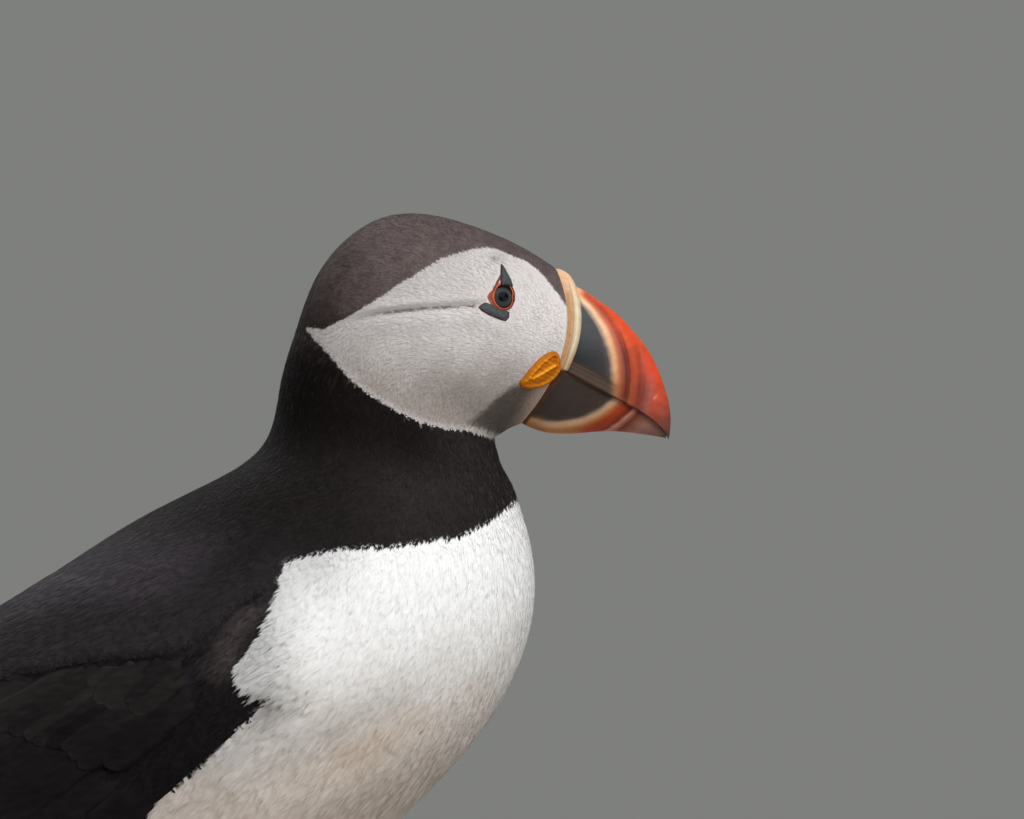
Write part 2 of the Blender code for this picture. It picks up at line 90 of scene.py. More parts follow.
# Outlines of the markings, seen from the side, as x and z.
FACE_PATCH = np.array((
    (44.6, 179.4), (48.7, 178.9), (54.2, 181.5), (58.7, 184.2), (64.2, 187.6), (69.3, 190.8),
    (73.5, 193.4), (76.7, 194.4), (80.1, 195.5), (83.7, 195.9), (86.1, 195.3), (89.0, 194.0),
    (91.8, 192.9), (93.6, 191.5), (95.4, 189.7), (96.9, 187.8), (98.3, 186.0), (101.5, 181.5),
    (106.0, 178.0), (106.0, 160.0), (92.0, 156.0), (84.2, 155.5), (79.3, 157.2), (74.2, 157.7),
    (69.3, 159.0), (64.2, 161.3), (58.7, 164.7), (54.2, 168.3), (49.3, 174.0), (45.5, 177.7)))
CHIN_PATCH = np.array((
    (92.0, 168.2), (90.5, 167.5), (88.2, 165.9), (85.9, 164.2), (83.8, 162.0), (81.7, 160.4),
    (79.8, 159.6), (80.8, 158.8), (82.8, 158.2), (85.5, 156.9), (88.0, 155.2), (92.0, 152.0),
    (106.0, 150.0), (106.0, 168.0)))
WHITE_FRONT = np.array((
    (130.0, 142.8), (89.5, 142.8), (84.4, 138.8), (77.8, 135.2), (69.9, 134.1), (62.3, 133.0),
    (54.0, 132.9), (47.0, 131.6), (41.8, 130.2), (40.2, 125.5), (38.9, 120.4), (37.2, 114.8),
    (34.2, 111.2), (32.0, 108.4), (31.6, 106.2), (33.8, 103.4), (38.8, 101.6), (35.0, 98.2),
    (31.4, 93.8), (26.7, 89.4), (22.0, 85.0), (8.5, 74.4), (-8.0, 65.0), (-28.0, 57.0),
    (-50.0, 53.0), (-75.0, 56.0), (-96.0, 60.0), (-130.0, 50.0), (-130.0, 0.0), (130.0, 0.0)))
CREASE = np.array((
    (53.0, 180.2), (60.3, 181.9), (64.2, 182.3), (69.1, 182.8), (74.3, 183.2), (78.8, 183.4),
    (82.0, 183.5)))
SCAPULAR_LINE = np.array((
    (-95.0, 74.0), (-78.0, 80.0), (-60.0, 88.5), (-40.0, 97.0), (-20.4, 103.7), (-15.3, 105.6),
    (-9.1, 105.6), (-4.9, 107.1), (5.3, 108.2), (15.5, 109.2), (20.6, 110.5), (25.9, 114.1),
    (31.5, 119.2), (37.6, 123.3), (42.0, 127.0)))
SMOKE_LINE = np.array(((36.0, 121.0), (32.4, 117.0), (29.6, 109.5)))

# Lid opening and outer rim round the eye: angle in degrees, inner radius, outer radius.
LID_RIM = np.array((
    (0.0, 1.80, 2.40), (40.0, 2.15, 2.75), (70.0, 2.6, 3.1), (88.0, 2.65, 3.8), (98.0, 2.6, 4.9),
    (106.0, 2.5, 4.0), (125.0, 2.25, 3.05), (150.0, 1.95, 2.7), (180.0, 1.85, 3.45), (200.0, 1.95, 3.1),
    (235.0, 2.2, 2.95), (270.0, 2.5, 3.05), (300.0, 2.4, 3.0), (330.0, 2.05, 2.6), (360.0, 1.80, 2.40)))
UPPER_PLATE = np.array(((86.1, 192.7), (86.5, 192.3), (87.3, 190.9), (88.2, 189.2), (88.8, 187.6),
                        (88.0, 187.6), (87.2, 187.9), (86.3, 187.7), (86.0, 188.4), (86.0, 190.0)))
LOWER_PLATE = np.array(((81.2, 183.2), (82.0, 183.9), (82.7, 184.3), (83.8, 183.9), (85.4, 182.9),
                        (87.2, 182.2), (88.0, 182.3), (87.9, 181.0), (87.1, 180.2), (85.4, 180.8),
                        (83.7, 181.5), (82.1, 182.4)))
GAPE_PAD = np.array(((89.9, 167.2), (90.8, 168.3), (92.2, 170.1), (94.3, 172.4), (96.2, 173.7),
                     (97.7, 174.0), (98.5, 173.2), (98.7, 171.6), (98.8, 169.9), (97.8, 168.4),
                     (96.2, 167.0), (94.2, 166.1), (92.0, 165.8), (90.4, 166.2)))

# Colours of the plumage by place, and of the painted shade, shadow and sheen mixed over it: red, green,
# blue.
INK = {
    "face": (0.58, 0.545, 0.535), "face_grey_and_shade": (0.29, 0.25, 0.228), "chin": (0.096, 0.078, 0.067),
    "cap": (0.112, 0.086, 0.084), "cap_rear": (0.060, 0.043, 0.042), "nape": (0.0056, 0.0034, 0.0034),
    "collar": (0.019, 0.0145, 0.0145), "white": (0.835, 0.832, 0.828), "belly": (0.44, 0.33, 0.25),
    "mantle": (0.0215, 0.0180, 0.0200), "wing": (0.0066, 0.0054, 0.0056), "smoke": (0.038, 0.031, 0.030),
    "crease": (0.055, 0.045, 0.042), "bristles_and_brow_shade": (0.12, 0.10, 0.10), "socket": (0.02, 0.013, 0.011),
    "chin_pale": (0.42, 0.31, 0.25), "mantle_sheen": (0.072, 0.062, 0.073),
    "wing_sheen": (0.0125, 0.0115, 0.0145), "wing_shadow": (0.003, 0.0025, 0.0025),
    "hollow": (0.43, 0.335, 0.245), "wrist_shadow": (0.30, 0.27, 0.26),
}
# The feathers of the head lie away from this point.
BILL_BASE = np.array((106.0, 0.0, 178.0))


def unit(vectors):
    """Vectors divided by their own length."""
    return vectors / np.maximum(np.linalg.norm(vectors, axis=-1, keepdims=True), 1e-9)


def smooth_step(low, high, value):
    """0 below low, 1 above high, an S-shaped rise between."""
    t = np.clip((value - low) / (high - low), 0.0, 1.0)
    return t * t * (3.0 - 2.0 * t)


def bell(distance, width):
    """1 at no distance, falling off smoothly: e to the minus square of distance over width."""
    return np.exp(-(distance / width) ** 2)


def mix(a, b, share):
    """Two colours or directions mixed by a share that varies from place to place."""
    share = np.asarray(share)[..., None]
    return np.asarray(a) * (1.0 - share) + np.asarray(b) * share


def toned(colour, factor):
    """A colour made lighter or darker by a factor that varies from place to place."""
    return colour * factor[..., None]


def spline(values, at):
    """Natural cubic spline through the rows of values at 0, 1, 2 ..., read at the given places: its
    second differences solve the three-term rows 1, 4, 1, and are zero at both ends."""
    count = len(values)
    matrix = np.eye(count)
    right = np.zeros_like(values)
    for i in range(1, count - 1):
        matrix[i, i - 1:i + 2] = (1.0, 4.0, 1.0)
        right[i] = 6.0 * (values[i + 1] - 2.0 * values[i] + values[i - 1])
    bend = np.linalg.solve(matrix, right)
    low = np.clip(at.astype(int), 0, count - 2)
    f = (at - low)[..., None]
    g = 1.0 - f
    return (g * values[low] + f * values[low + 1]
            + ((g ** 3 - g) * bend[low] + (f ** 3 - f) * bend[low + 1]) / 6.0)


def edge_distance(x, z, line, closed=True):
    """Distance from points to a line of straight pieces, the least of the distances to its pieces;
    below zero inside a closed one, where a level ray crosses its outline an odd number of times."""
    ends = np.roll(line, -1, axis=0) if closed else line[1:]
    starts = line if closed else line[:-1]
    best = np.full(np.shape(x), 1e9)
    inside = np.zeros(np.shape(x), bool)
    for (x0, z0), (x1, z1) in zip(starts, ends):
        dx, dz = x1 - x0, z1 - z0
        t = np.clip(((x - x0) * dx + (z - z0) * dz) / (dx * dx + dz * dz), 0.0, 1.0)
        best = np.minimum(best, np.hypot(x - x0 - t * dx, z - z0 - t * dz))
        if closed and dz != 0.0:
            inside ^= ((z0 > z) != (z1 > z)) & (x < x0 + (z - z0) * dx / dz)
    return np.where(inside, -best, best)


def along_across(x, z, start, way):
    """Places seen from the side as lengths from a start: along a direction, and square to it."""
    size = math.hypot(*way)
    dx, dz = x - start[0], z - start[1]
    return (dx * way[0] + dz * way[1]) / size, (dz * way[0] - dx * way[1]) / size


def ripple(x, y, z, size, seed):
    """Smooth made-up variation from -1 to 1: four crossing sine waves of about the given size."""
    k = TAU / size
    return 0.25 * (np.sin(k * (x + 0.7 * z) + seed) + np.sin(k * (1.3 * y - 0.8 * x) + 2.1 * seed)
                   + np.sin(k * (0.9 * z - 1.1 * y) + 3.7 * seed) + np.sin(k * 1.7 * (x - z + y) + seed))


# ---------------------------------------------------------------- body surface

def from_back(angle):
    """Angle from the back, the same on both sides of the body."""
    return np.minimum(angle, TAU - angle)


def wing_edges(s):
    """Angles of the folded wing's upper and lower edge at a section."""
    return (np.radians(np.interp(s, WING_EDGES[:, 0], WING_EDGES[:, k])) for k in (1, 2))


def wing_share(s, angle):
    """Where a place lies on the folded wing: share along it and share from upper to lower edge."""
    upper, lower = wing_edges(s)
    along = (s - WING_EDGES[0, 0]) / (WING_EDGES[-1, 0] - WING_EDGES[0, 0])
    return along, (from_back(angle) - upper) / (lower - upper)


def above_scapulars(x, z):
    """Height over the line where the scapular feathers end on the wing."""
    return z - np.interp(x, SCAPULAR_LINE[:, 0], SCAPULAR_LINE[:, 1])


def from_crease(x, z):
    """Distance from the fold behind the eye, and height above it."""
    return edge_distance(x, z, CREASE, closed=False), z - np.interp(x, CREASE[:, 0], CREASE[:, 1])


def wing_swell(points, s, angle):
    """Thickness of the folded wing: a rounded hump over its patch that fades in from the wrist, and
    over it the scapulars, a layer that ends in a rounded step."""
    along, across = wing_share(s, angle)
    hump = np.sin(math.pi * np.clip(across, 0.0, 1.0)) ** 0.7
    grow = np.clip(0.35 + (s - WING_EDGES[0, 0]) / 1.4, 0.0, 1.0) * smooth_step(-0.03, 0.04, along)
    wing = (0.4 + 2.3 * hump) * grow * smooth_step(-0.3, 0.4, across) * smooth_step(1.05, 0.95, across)
    x, z = points[..., 0], points[..., 2]
    above = above_scapulars(x, z)
    step = smooth_step(-0.5, 0.5, above) * bell(np.maximum(above, 0.0), 12.0)
    side = smooth_step(14.0, 20.0, np.abs(points[..., 1])) * smooth_step(41.0, 34.0, x)
    furrow = -0.5 * bell(above + 0.5, 0.8)
    return wing + (1.2 * step + furrow) * side * smooth_step(-92.0, -80.0, x)


def breast_relief(points):
    """A soft hollow in the lower breast with the swelling in front of it, and the puffed feathers of
    the side breast over the wrist of the wing: a sum of bells, none at the middle plane."""
    x, z = points[..., 0], points[..., 2]
    along, across = along_across(x, z, (53.0, 91.0), (22.0, 13.0))
    hollow = -1.7 * bell(across, 4.6) + 0.9 * bell(across + 9.0, 5.0)
    puff = 1.8 * bell(x - 40.5, 5.5) * bell(z - 110.5, 9.0)
    return (hollow * bell(along, 19.0) + puff) * smooth_step(8.0, 20.0, np.abs(points[..., 1]))


def head_relief(points):
    """Cheek, brow, eye hollow and the crease behind the eye, as height over the plain head: a sum of
    bells about the crease, the cheek and the eye, none at the middle plane."""
    x, y, z = points[..., 0], np.abs(points[..., 1]), points[..., 2]
    side = smooth_step(4.0, 9.0, y)
    crease, above = from_crease(x, z)
    fade = smooth_step(50.0, 60.0, x) * smooth_step(85.0, 80.0, x)
    height = -0.30 * bell(crease, 0.9) * fade
    height += 0.65 * bell(above - 1.3, 1.3) * fade
    height += 0.5 * bell(above + 2.4, 2.4) * fade
    height += 0.8 * bell(x - 74.0, 12.0) * bell(z - 170.0, 8.0)
    eye = np.hypot((x - EYE[0]) / 1.15, z - EYE[1])
    height += -0.55 * bell(eye, 3.4) + 0.35 * bell(eye - 6.0, 2.0)
    return height * side


def body_shape(s, angle):
    """The plain body: back and belly splines joined by ovals whose width is the sine of the angle."""
    row = spline(SECTIONS, s)
    fall = (1.0 - np.cos(angle)) / 2.0
    forward = FACE_BULGE * np.sin(angle) ** 2 * np.clip(1.0 - s / 1.6, 0.0, 1.0) ** 1.5
    x = row[..., 0] + (row[..., 2] - row[..., 0]) * fall + forward
    z = row[..., 1] + (row[..., 3] - row[..., 1]) * fall
    y = row[..., 4] * np.sin(angle) * (1.0 - row[..., 5] * np.cos(angle))
    return np.stack([x, y, z], axis=-1)


def slope_around(points, step=1.0):
    """How a grid that closes round its columns moves per step of them: half the way between the
    neighbours on both sides."""
    ring = np.concatenate([points[:, -2:-1], points, points[:, 1:2]], axis=1)
    return np.gradient(ring, step, axis=1)[:, 1:-1]


def grid_normals(points, around):
    """Outward normals of a grid of points: square to its slopes along the rows and around."""
    return unit(np.cross(around, np.gradient(points, axis=0)))


# Steps of the surface's tables along the body and round it.
S_STEPS, A_STEPS = 1361, 361
S_GRID = np.linspace(0.0, LAST, S_STEPS)
A_GRID = np.linspace(0.0, TAU, A_STEPS)

# Outline of the feathered thigh: distance from the leg's line, height.
THIGH = np.array(((2.4, 27.5), (3.2, 28.3), (4.6, 30.3), (7.4, 34.0), (10.2, 40.0), (12.3, 47.0)))


def thigh_radius(points):
    """Distance from the leg's line in plan, with the thigh's oval made round."""
    return np.hypot(points[..., 0] + 2.5, (np.abs(points[..., 1]) - LEG_SIDE) * 1.22)


def with_thighs(points):
    """The belly drawn down over the feathered thighs: each low place takes the lower of its own
    height and the thigh's height at its distance from the leg, rounded where the two meet."""
    z = points[..., 2]
    thigh = np.interp(thigh_radius(points), THIGH[:, 0], THIGH[:, 1], right=60.0)
    share = np.clip(0.5 + (z - thigh) / 8.0, 0.0, 1.0)
    low = z * (1.0 - share) + thigh * share - 2.0 * share * (1.0 - share)
    belly = smooth_step(58.0, 50.0, z)
    return np.stack([points[..., 0], points[..., 1], z + (np.minimum(low, z) - z) * belly], axis=-1)


def make_surface():
    """Tables over section and angle: points of the plumage's outer surface, their normals, and how
    the points move per section and per radian."""
    s, angle = np.meshgrid(S_GRID, A_GRID, indexing="ij")
    plain = body_shape(s, angle)
    lift = (head_relief(plain) * smooth_step(6.0, 4.0, s) + wing_swell(plain, s, angle)
            + breast_relief(plain) * smooth_step(8.0, 9.0, s))
    points = with_thighs(plain + grid_normals(plain, slope_around(plain)) * lift[..., None])
    normals = grid_normals(points, slope_around(points))
    return points, normals, np.gradient(points, S_GRID[1], axis=0), slope_around(points, A_GRID[1])


POINTS, NORMALS, ALONG, AROUND = make_surface()


def between(table, row, column):
    """A table read between its rows and columns, straight-line in both."""
    i = row.astype(int)
    j = np.minimum(column.astype(int), table.shape[1] - 2)
    f, g = (row - i)[..., None], (column - j)[..., None]
    return ((table[i, j] * (1 - g) + table[i, j + 1] * g) * (1 - f)
            + (table[i + 1, j] * (1 - g) + table[i + 1, j + 1] * g) * f)


def read(table, s, angle):
    """One of the surface's tables read at sections and angles."""
    row = np.clip(s / LAST * (S_STEPS - 1), 0.0, S_STEPS - 1.001)
    return between(table, row, np.mod(angle, TAU) / TAU * (A_STEPS - 1))


def surface(s, angle, lift=0.0):
    """Points of the plumage surface raised by the lift, and the normals there."""
    normal = unit(read(NORMALS, s, angle))
    return read(POINTS, s, angle) + normal * np.asarray(lift)[..., None], normal


def settle(target, s, angle):
    """Section and angle of the surface points nearest to the targets: three short steps from a
    first guess, each solving for the move along and around that closes the gap."""
    for _ in range(3):
        gap = target - read(POINTS, s, angle)
        a, b = read(ALONG, s, angle), read(AROUND, s, angle)
        aa, ab, bb = (a * a).sum(-1), (a * b).sum(-1), (b * b).sum(-1)
        ga, gb = (gap * a).sum(-1), (gap * b).sum(-1)
        area = np.maximum(aa * bb - ab * ab, 1e-6)
        s = np.clip(s + np.clip((ga * bb - gb * ab) / area, -0.5, 0.5), 0.0, LAST)
        angle = angle + np.clip((gb * aa - ga * ab) / area, -0.3, 0.3)
    return s, angle


def wrist_sweep(points):
    """1 where the side-breast feathers sweep back over the wrist of the wing, 0 away from there."""
    x, y, z = points[..., 0], points[..., 1], points[..., 2]
    return bell(x - 40.0, 9.0) * bell(z - 110.0, 11.0) * smooth_step(14.0, 22.0, np.abs(y))


def lie(points, normal, s, angle):
    """Direction in which the feathers lie, flat on the surface: away from the bill over the head,
    along the crease behind the eye, then along the body toward the tail, and straight back over the
    wrist of the wing."""
    x, z = points[..., 0], points[..., 2]
    head = smooth_step(6.5, 2.0, s)
    way = unit(mix(unit(read(ALONG, s, angle)), unit(points - BILL_BASE), head))
    crease, _ = from_crease(x, z)
    way = mix(way, (-1.0, 0.0, -0.06), bell(crease, 1.6) * head)
    way = mix(way, (-0.85, 0.0, -0.5), wrist_sweep(points))
    leg = smooth_step(12.0, 9.0, thigh_radius(points)) * smooth_step(46.0, 40.0, z)
    way = mix(way, (-0.15, 0.0, -1.0), leg)
    return unit(way - normal * (way * normal).sum(-1, keepdims=True))


def find(x, z):
    """Section and angle of the left side's surface points at the given x and z: the nearest table
    entry to their middle, then repeated steps that close the gap in x and z."""
    half = slice(3, A_STEPS // 2 - 3)
    gap = (POINTS[:, half, 0] - np.mean(x)) ** 2 + (POINTS[:, half, 2] - np.mean(z)) ** 2
    i, j = np.unravel_index(np.argmin(gap), gap.shape)
    s, angle = np.full(np.shape(x), S_GRID[i]), np.full(np.shape(x), A_GRID[j + 3])
    for _ in range(8):
        here = read(POINTS, s, angle)
        gx, gz = x - here[..., 0], z - here[..., 2]
        a, b = read(ALONG, s, angle), read(AROUND, s, angle)
        area = a[..., 0] * b[..., 2] - b[..., 0] * a[..., 2]
        area = np.where(np.abs(area) < 1.0, np.where(area < 0.0, -1.0, 1.0), area)
        s = np.clip(s + np.clip((gx * b[..., 2] - gz * b[..., 0]) / area, -0.3, 0.3), 0.0, LAST)
        angle = np.clip(angle + np.clip((gz * a[..., 0] - gx * a[..., 2]) / area, -0.2, 0.2), 0.05, 3.1)
    return s, angle


# ---------------------------------------------------------------- markings

def dark_tone(x, z, s):
    """Back, collar, folded wing and nape: black-browns mixed by steps along and across the body,
    with the sheen of the mantle, the shadow under the scapulars and the smoky wrist."""
    above = above_scapulars(x, z)
    behind = smooth_step(9.0, 9.6, s)
    wing = smooth_step(0.3, -0.6, above) * behind
    colour = mix(INK["mantle"], INK["mantle_sheen"], smooth_step(11.0, 26.0, above))
    colour = mix(colour, INK["collar"], smooth_step(9.8, 8.2, s))
    neck_rear = smooth_step(70.0, 52.0, x + 0.35 * (z - 140.0)) * smooth_step(10.5, 8.5, s)
    colour = toned(colour, 1.0 - 0.45 * neck_rear)
    colour = mix(colour, INK["wing"], wing)
    colour = mix(colour, INK["wing_shadow"], 0.9 * bell(above + 0.75, 0.45) * behind)
    colour = mix(colour, INK["wing_sheen"], 0.8 * bell(above + 4.5, 3.0) * wing)
    smoke = edge_distance(x, z, SMOKE_LINE, closed=False)
    colour = mix(colour, INK["smoke"], bell(smoke, 3.2) * wing)
    return mix(colour, INK["nape"], smooth_step(7.6, 6.0, s) * smooth_step(80.0, 66.0, x))


def face_tone(x, z, rim, soft):
    """The face: pale grey above and darker below, the darker grey partly its own and partly painted
    shade, with painted light that brightens its front, lighter beside its own edge, and painted
    shade in the hollow behind the eye above the fold.
    """
    # Darker below: partly the face's own grey, partly painted shade under the head.
    low = smooth_step(181.0, 161.0, z + 0.10 * (x - 80.0) + 3.0 * soft)
    tone = mix(INK["face"], INK["face_grey_and_shade"], 0.95 * low)
    # Painted light: the front of the face made brighter.
    tone = toned(tone, 1.0 + 0.12 * smooth_step(84.0, 95.0, x))
    tone = mix(tone, INK["face"], 0.65 * smooth_step(-2.6, -0.4, rim) * smooth_step(92.0, 80.0, x))
    # Painted shade in the hollow behind the eye, above the fold.
    return toned(tone, 1.0 - 0.11 * smooth_step(84.0, 77.0, x) * smooth_step(182.0, 187.0, z))


def face_marked(colour, x, y, z, face, wobble):
    """Marks mixed over the face: the dark line of the fold behind the eye, partly the dark bases of
    its feathers and partly painted shade, with painted shade along the brow over it; a small dark
    patch of bristles above the eye inside a wider painted shade; the dark skin round the eyelids
    and the grey chin."""
    crease, over = from_crease(x, z)
    fade = smooth_step(54.0, 66.0, x) * smooth_step(83.0, 81.0, x) * face
    # The fold's dark line: partly dark feather bases, partly painted shade in the fold.
    colour = mix(colour, INK["crease"], 0.9 * bell(crease, 0.30) * fade)
    # Painted shade along the brow over the fold.
    colour = mix(colour, INK["face_grey_and_shade"], 0.35 * bell(over - 0.7, 0.7) * fade)
    # Dark bristles above the eye in the narrow bell, painted shade in the wide one.
    bristles_and_brow_shade = np.hypot(x - 85.8, (z - 193.4) * 1.3)
    colour = mix(colour, INK["bristles_and_brow_shade"], (0.45 * bell(bristles_and_brow_shade, 0.8) + 0.14 * bell(bristles_and_brow_shade, 3.0)) * face)
    socket = smooth_step(1.05, 0.95, np.hypot((x - EYE[0]) / 1.95, (z - EYE[1]) / 2.75))
    colour = mix(colour, INK["socket"], socket * (np.abs(y) > HEAD_SIDE))
    chin = smooth_step(0.7, -0.7, edge_distance(x, z, CHIN_PATCH) + wobble) * face
    pale = smooth_step(88.4, 92.0, x - 0.55 * (z - 160.0))
    return mix(colour, mix(INK["chin"], INK["chin_pale"], 0.8 * pale), chin)


def white_tone(x, z, front, soft):
    """Breast and belly: white above and grey-brown below, with painted shade in the hollow of the
    lower breast, a painted shadow under the puffed feathers in front of the wing and a painted
    shaded edge along the flank."""
    low_belly = smooth_step(122.0, 78.0, z - 0.25 * (x - 60.0) + 5.0 * soft)
    tone = mix(INK["white"], INK["belly"], 0.75 * low_belly)
    along, across = along_across(x, z, (60.5, 94.0), (17.0, 9.5))
    # Painted shade in the hollow of the lower breast.
    tone = mix(tone, INK["hollow"], 0.60 * bell(across + 0.5, 3.6) * bell(along, 13.0))
    # Painted shadow under the puffed feathers over the wrist of the wing.
    fold = np.hypot(x - 39.5, (z - 100.6) * 1.4)
    tone = mix(tone, INK["wrist_shadow"], 0.55 * bell(fold, 3.6))
    # Painted shade along the flank beside the wing.
    flank = smooth_step(-13.0, 0.0, front) * smooth_step(64.0, 46.0, x) * smooth_step(72.0, 100.0, z)
    return toned(tone, 1.0 - 0.33 * flank)


def markings(points, s, angle):
    """Plumage colour at places on the body, with painted shade, shadow and sheen mixed in, the same
    for skin and coat, with the shares of face and of white there. Each marking is mixed over the
    last by a share that steps from 0 to 1 at its outline, which a fine ripple moves a little."""
    x, y, z = points[..., 0], points[..., 1], points[..., 2]
    wobble = 0.25 * ripple(x, y, z, 2.1, 1.0) + 0.15 * ripple(x, y, z, 0.9, 2.0)
    soft = ripple(x, y, z, 17.0, 3.0)
    colour = dark_tone(x, z, s)
    cap = smooth_step(168.0, 186.0, z + 0.20 * (x - 60.0) + wobble)
    brown = smooth_step(44.0, 62.0, x + 0.5 * (z - 190.0) + 6.0 * soft)
    cap = np.maximum(cap, smooth_step(4.2, 3.4, s)) * (s < 7.0)
    colour = mix(colour, mix(INK["cap_rear"], INK["cap"], brown), cap)
    rim = edge_distance(x, z, FACE_PATCH)
    face = smooth_step(0.12, -0.12, rim + 0.35 * wobble) * (s < 6.5)
    face = face * smooth_step(0.34, 0.44, from_back(angle))
    colour = mix(colour, face_tone(x, z, rim, soft), face)
    colour = face_marked(colour, x, y, z, face, wobble)
    front = edge_distance(x, z, WHITE_FRONT) + 0.3 * wobble
    white = smooth_step(0.15, -0.15, front) * (s > 6.0)
    return mix(colour, white_tone(x, z, front, soft), white), face, white


# ---------------------------------------------------------------- mesh writing

def put_mesh(name, points, quads, finish, tint, triangles=None, uv=None, normals=None,
             replaces=(), wall=0.0):
    """One piece from arrays: points in millimetres, faces, colour per point, and a map per point or
    per corner. A sheet with a wall becomes a closed plate of that thickness, its other face on the
    inside."""
    mesh = bpy.data.meshes.new(name)
    corners = quads.ravel()
    starts = np.arange(len(quads)) * 4
    if triangles is not None:
        starts = np.concatenate([starts, len(corners) + np.arange(len(triangles)) * 3])
        corners = np.concatenate([corners, triangles.ravel()])
    mesh.vertices.add(len(points))
    mesh.vertices.foreach_set("co", np.ascontiguousarray(points * METRES, np.float32).ravel())
    mesh.loops.add(len(corners))
    mesh.loops.foreach_set("vertex_index", corners.astype(np.int32))
    mesh.polygons.add(len(starts))
    mesh.polygons.foreach_set("loop_start", starts.astype(np.int32))
    mesh.update(calc_edges=True)
    if uv is not None:
        places = uv[corners] if len(uv) == len(points) else uv
        layer = mesh.uv_layers.new(name="OFBake")
        layer.data.foreach_set("uv", np.ascontiguousarray(places, np.float32).ravel())
    layer = mesh.color_attributes.new("tint", "FLOAT_COLOR", "POINT")
    full = np.concatenate([np.clip(tint, 0.0, 1.0), np.ones((len(tint), 1))], axis=1)
    layer.data.foreach_set("color", np.ascontiguousarray(full, np.float32).ravel())
    mesh.shade_smooth()
    if normals is not None:
        mesh.normals_split_custom_set_from_vertices(normals.astype(np.float32))
    mesh.materials.append(finish)
    piece = bpy.data.objects.new(name, mesh)
    bpy.context.collection.objects.link(piece)
    if wall:
        plate = piece.modifiers.new("wall", "SOLIDIFY")
        plate.thickness = wall * METRES
        plate.offset = -1.0
    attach(piece, "root")
    if replaces:
        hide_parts(*replaces)


def grid_quads(rows, columns, wrap=False):
    """Faces of a grid of points, closed round its columns if asked, turned to face outward."""
    i, j = np.meshgrid(np.arange(rows - 1), np.arange(columns if wrap else columns - 1), indexing="ij")
    k = (j + 1) % columns
    here, after = i * columns, (i + 1) * columns
    return np.stack([here + j, here + k, after + k, after + j], axis=-1).reshape(-1, 4)


def repeated(quads, count, size):
    """The faces of one grid repeated for a number of grids of so many points each."""
    return (quads[None] + (np.arange(count) * size)[:, None, None]).reshape(-1, 4)


def mirrored(points, side, *faces):
    """The same points and faces on the bird's other side, the faces turned back outward."""
    if side > 0:
        return points, *faces
    return points * (1.0, -1.0, 1.0), *(part[:, ::-1] for part in faces)


# ---------------------------------------------------------------- finishes

def new_group(name, inputs):
    """A shader node group with the named inputs that puts out a colour and a height."""
    group = bpy.data.node_groups.new(name, "ShaderNodeTree")
    for socket, kind, value in inputs:
        made = group.interface.new_socket(socket, in_out="INPUT", socket_type="NodeSocket" + kind)
        made.default_value = value
    for socket, kind in (("Color", "Color"), ("Height", "Float")):
        group.interface.new_socket(socket, in_out="OUTPUT", socket_type="NodeSocket" + kind)
    return group, group.nodes.new("NodeGroupInput"), group.nodes.new("NodeGroupOutput")


def add_node(nodes, kind, values, **settings):
    """A shader node with its settings and the values of its inputs."""
    node = nodes.new("ShaderNode" + kind)
    for setting, value in settings.items():
        setattr(node, setting, value)
    for socket, value in values.items():
        node.inputs[socket].default_value = value
    return node


def speckle_group():
    """Colour times a factor between 1 - amount and 1 + amount that follows fine noise, with the
    same noise as the height."""
    group, enter, leave = new_group(
        "speckle", (("Color", "Color", (1, 1, 1, 1)), ("Scale", "Float", 900.0),
                    ("Amount", "Float", 0.15), ("Stretch", "Vector", (1, 1, 1))))
    nodes, link = group.nodes, group.links.new
    place = add_node(nodes, "TexCoord", {})
    stretch = add_node(nodes, "VectorMath", {}, operation="MULTIPLY")
    noise = add_node(nodes, "TexNoise", {"Detail": 3.0})
    spread = add_node(nodes, "MapRange", {"From Min": 0.3, "From Max": 0.7})
    low = add_node(nodes, "Math", {0: 1.0}, operation="SUBTRACT")
    high = add_node(nodes, "Math", {0: 1.0}, operation="ADD")
    scaled = add_node(nodes, "VectorMath", {}, operation="SCALE")
    link(place.outputs["Object"], stretch.inputs[0])
    link(enter.outputs["Stretch"], stretch.inputs[1])
    link(stretch.outputs[0], noise.inputs["Vector"])
    link(enter.outputs["Scale"], noise.inputs["Scale"])
    link(noise.outputs["Fac"], spread.inputs["Value"])
    link(enter.outputs["Amount"], low.inputs[1])
    link(enter.outputs["Amount"], high.inputs[1])
    link(low.outputs[0], spread.inputs["To Min"])
    link(high.outputs[0], spread.inputs["To Max"])
    link(enter.outputs["Color"], scaled.inputs[0])
    link(spread.outputs[0], scaled.inputs["Scale"])
    link(scaled.outputs[0], leave.inputs["Color"])
    link(noise.outputs["Fac"], leave.inputs["Height"])
    return group


def cells_group():
    """Rounded scales: colour times a factor that falls from 1 to 1 - depth in the hollows between
    cells, with the same factor as the height."""
    group, enter, leave = new_group(
        "cells", (("Color", "Color", (1, 1, 1, 1)), ("Scale", "Float", 900.0), ("Depth", "Float", 0.4)))
    nodes, link = group.nodes, group.links.new
    place = add_node(nodes, "TexCoord", {})
    cells = add_node(nodes, "TexVoronoi", {}, feature="DISTANCE_TO_EDGE")
    ramp = add_node(nodes, "MapRange", {"From Max": 0.12})
    darker = add_node(nodes, "Math", {0: 1.0}, operation="SUBTRACT")
    scaled = add_node(nodes, "VectorMath", {}, operation="SCALE")
    link(place.outputs["Object"], cells.inputs["Vector"])
    link(enter.outputs["Scale"], cells.inputs["Scale"])
    link(cells.outputs["Distance"], ramp.inputs["Value"])
    link(enter.outputs["Depth"], darker.inputs[1])
    link(darker.outputs[0], ramp.inputs["To Min"])
    link(enter.outputs["Color"], scaled.inputs[0])
    link(ramp.outputs[0], scaled.inputs["Scale"])
    link(scaled.outputs[0], leave.inputs["Color"])
    link(ramp.outputs[0], leave.inputs["Height"])
    return group


SPECKLE = speckle_group()
CELLS = cells_group()


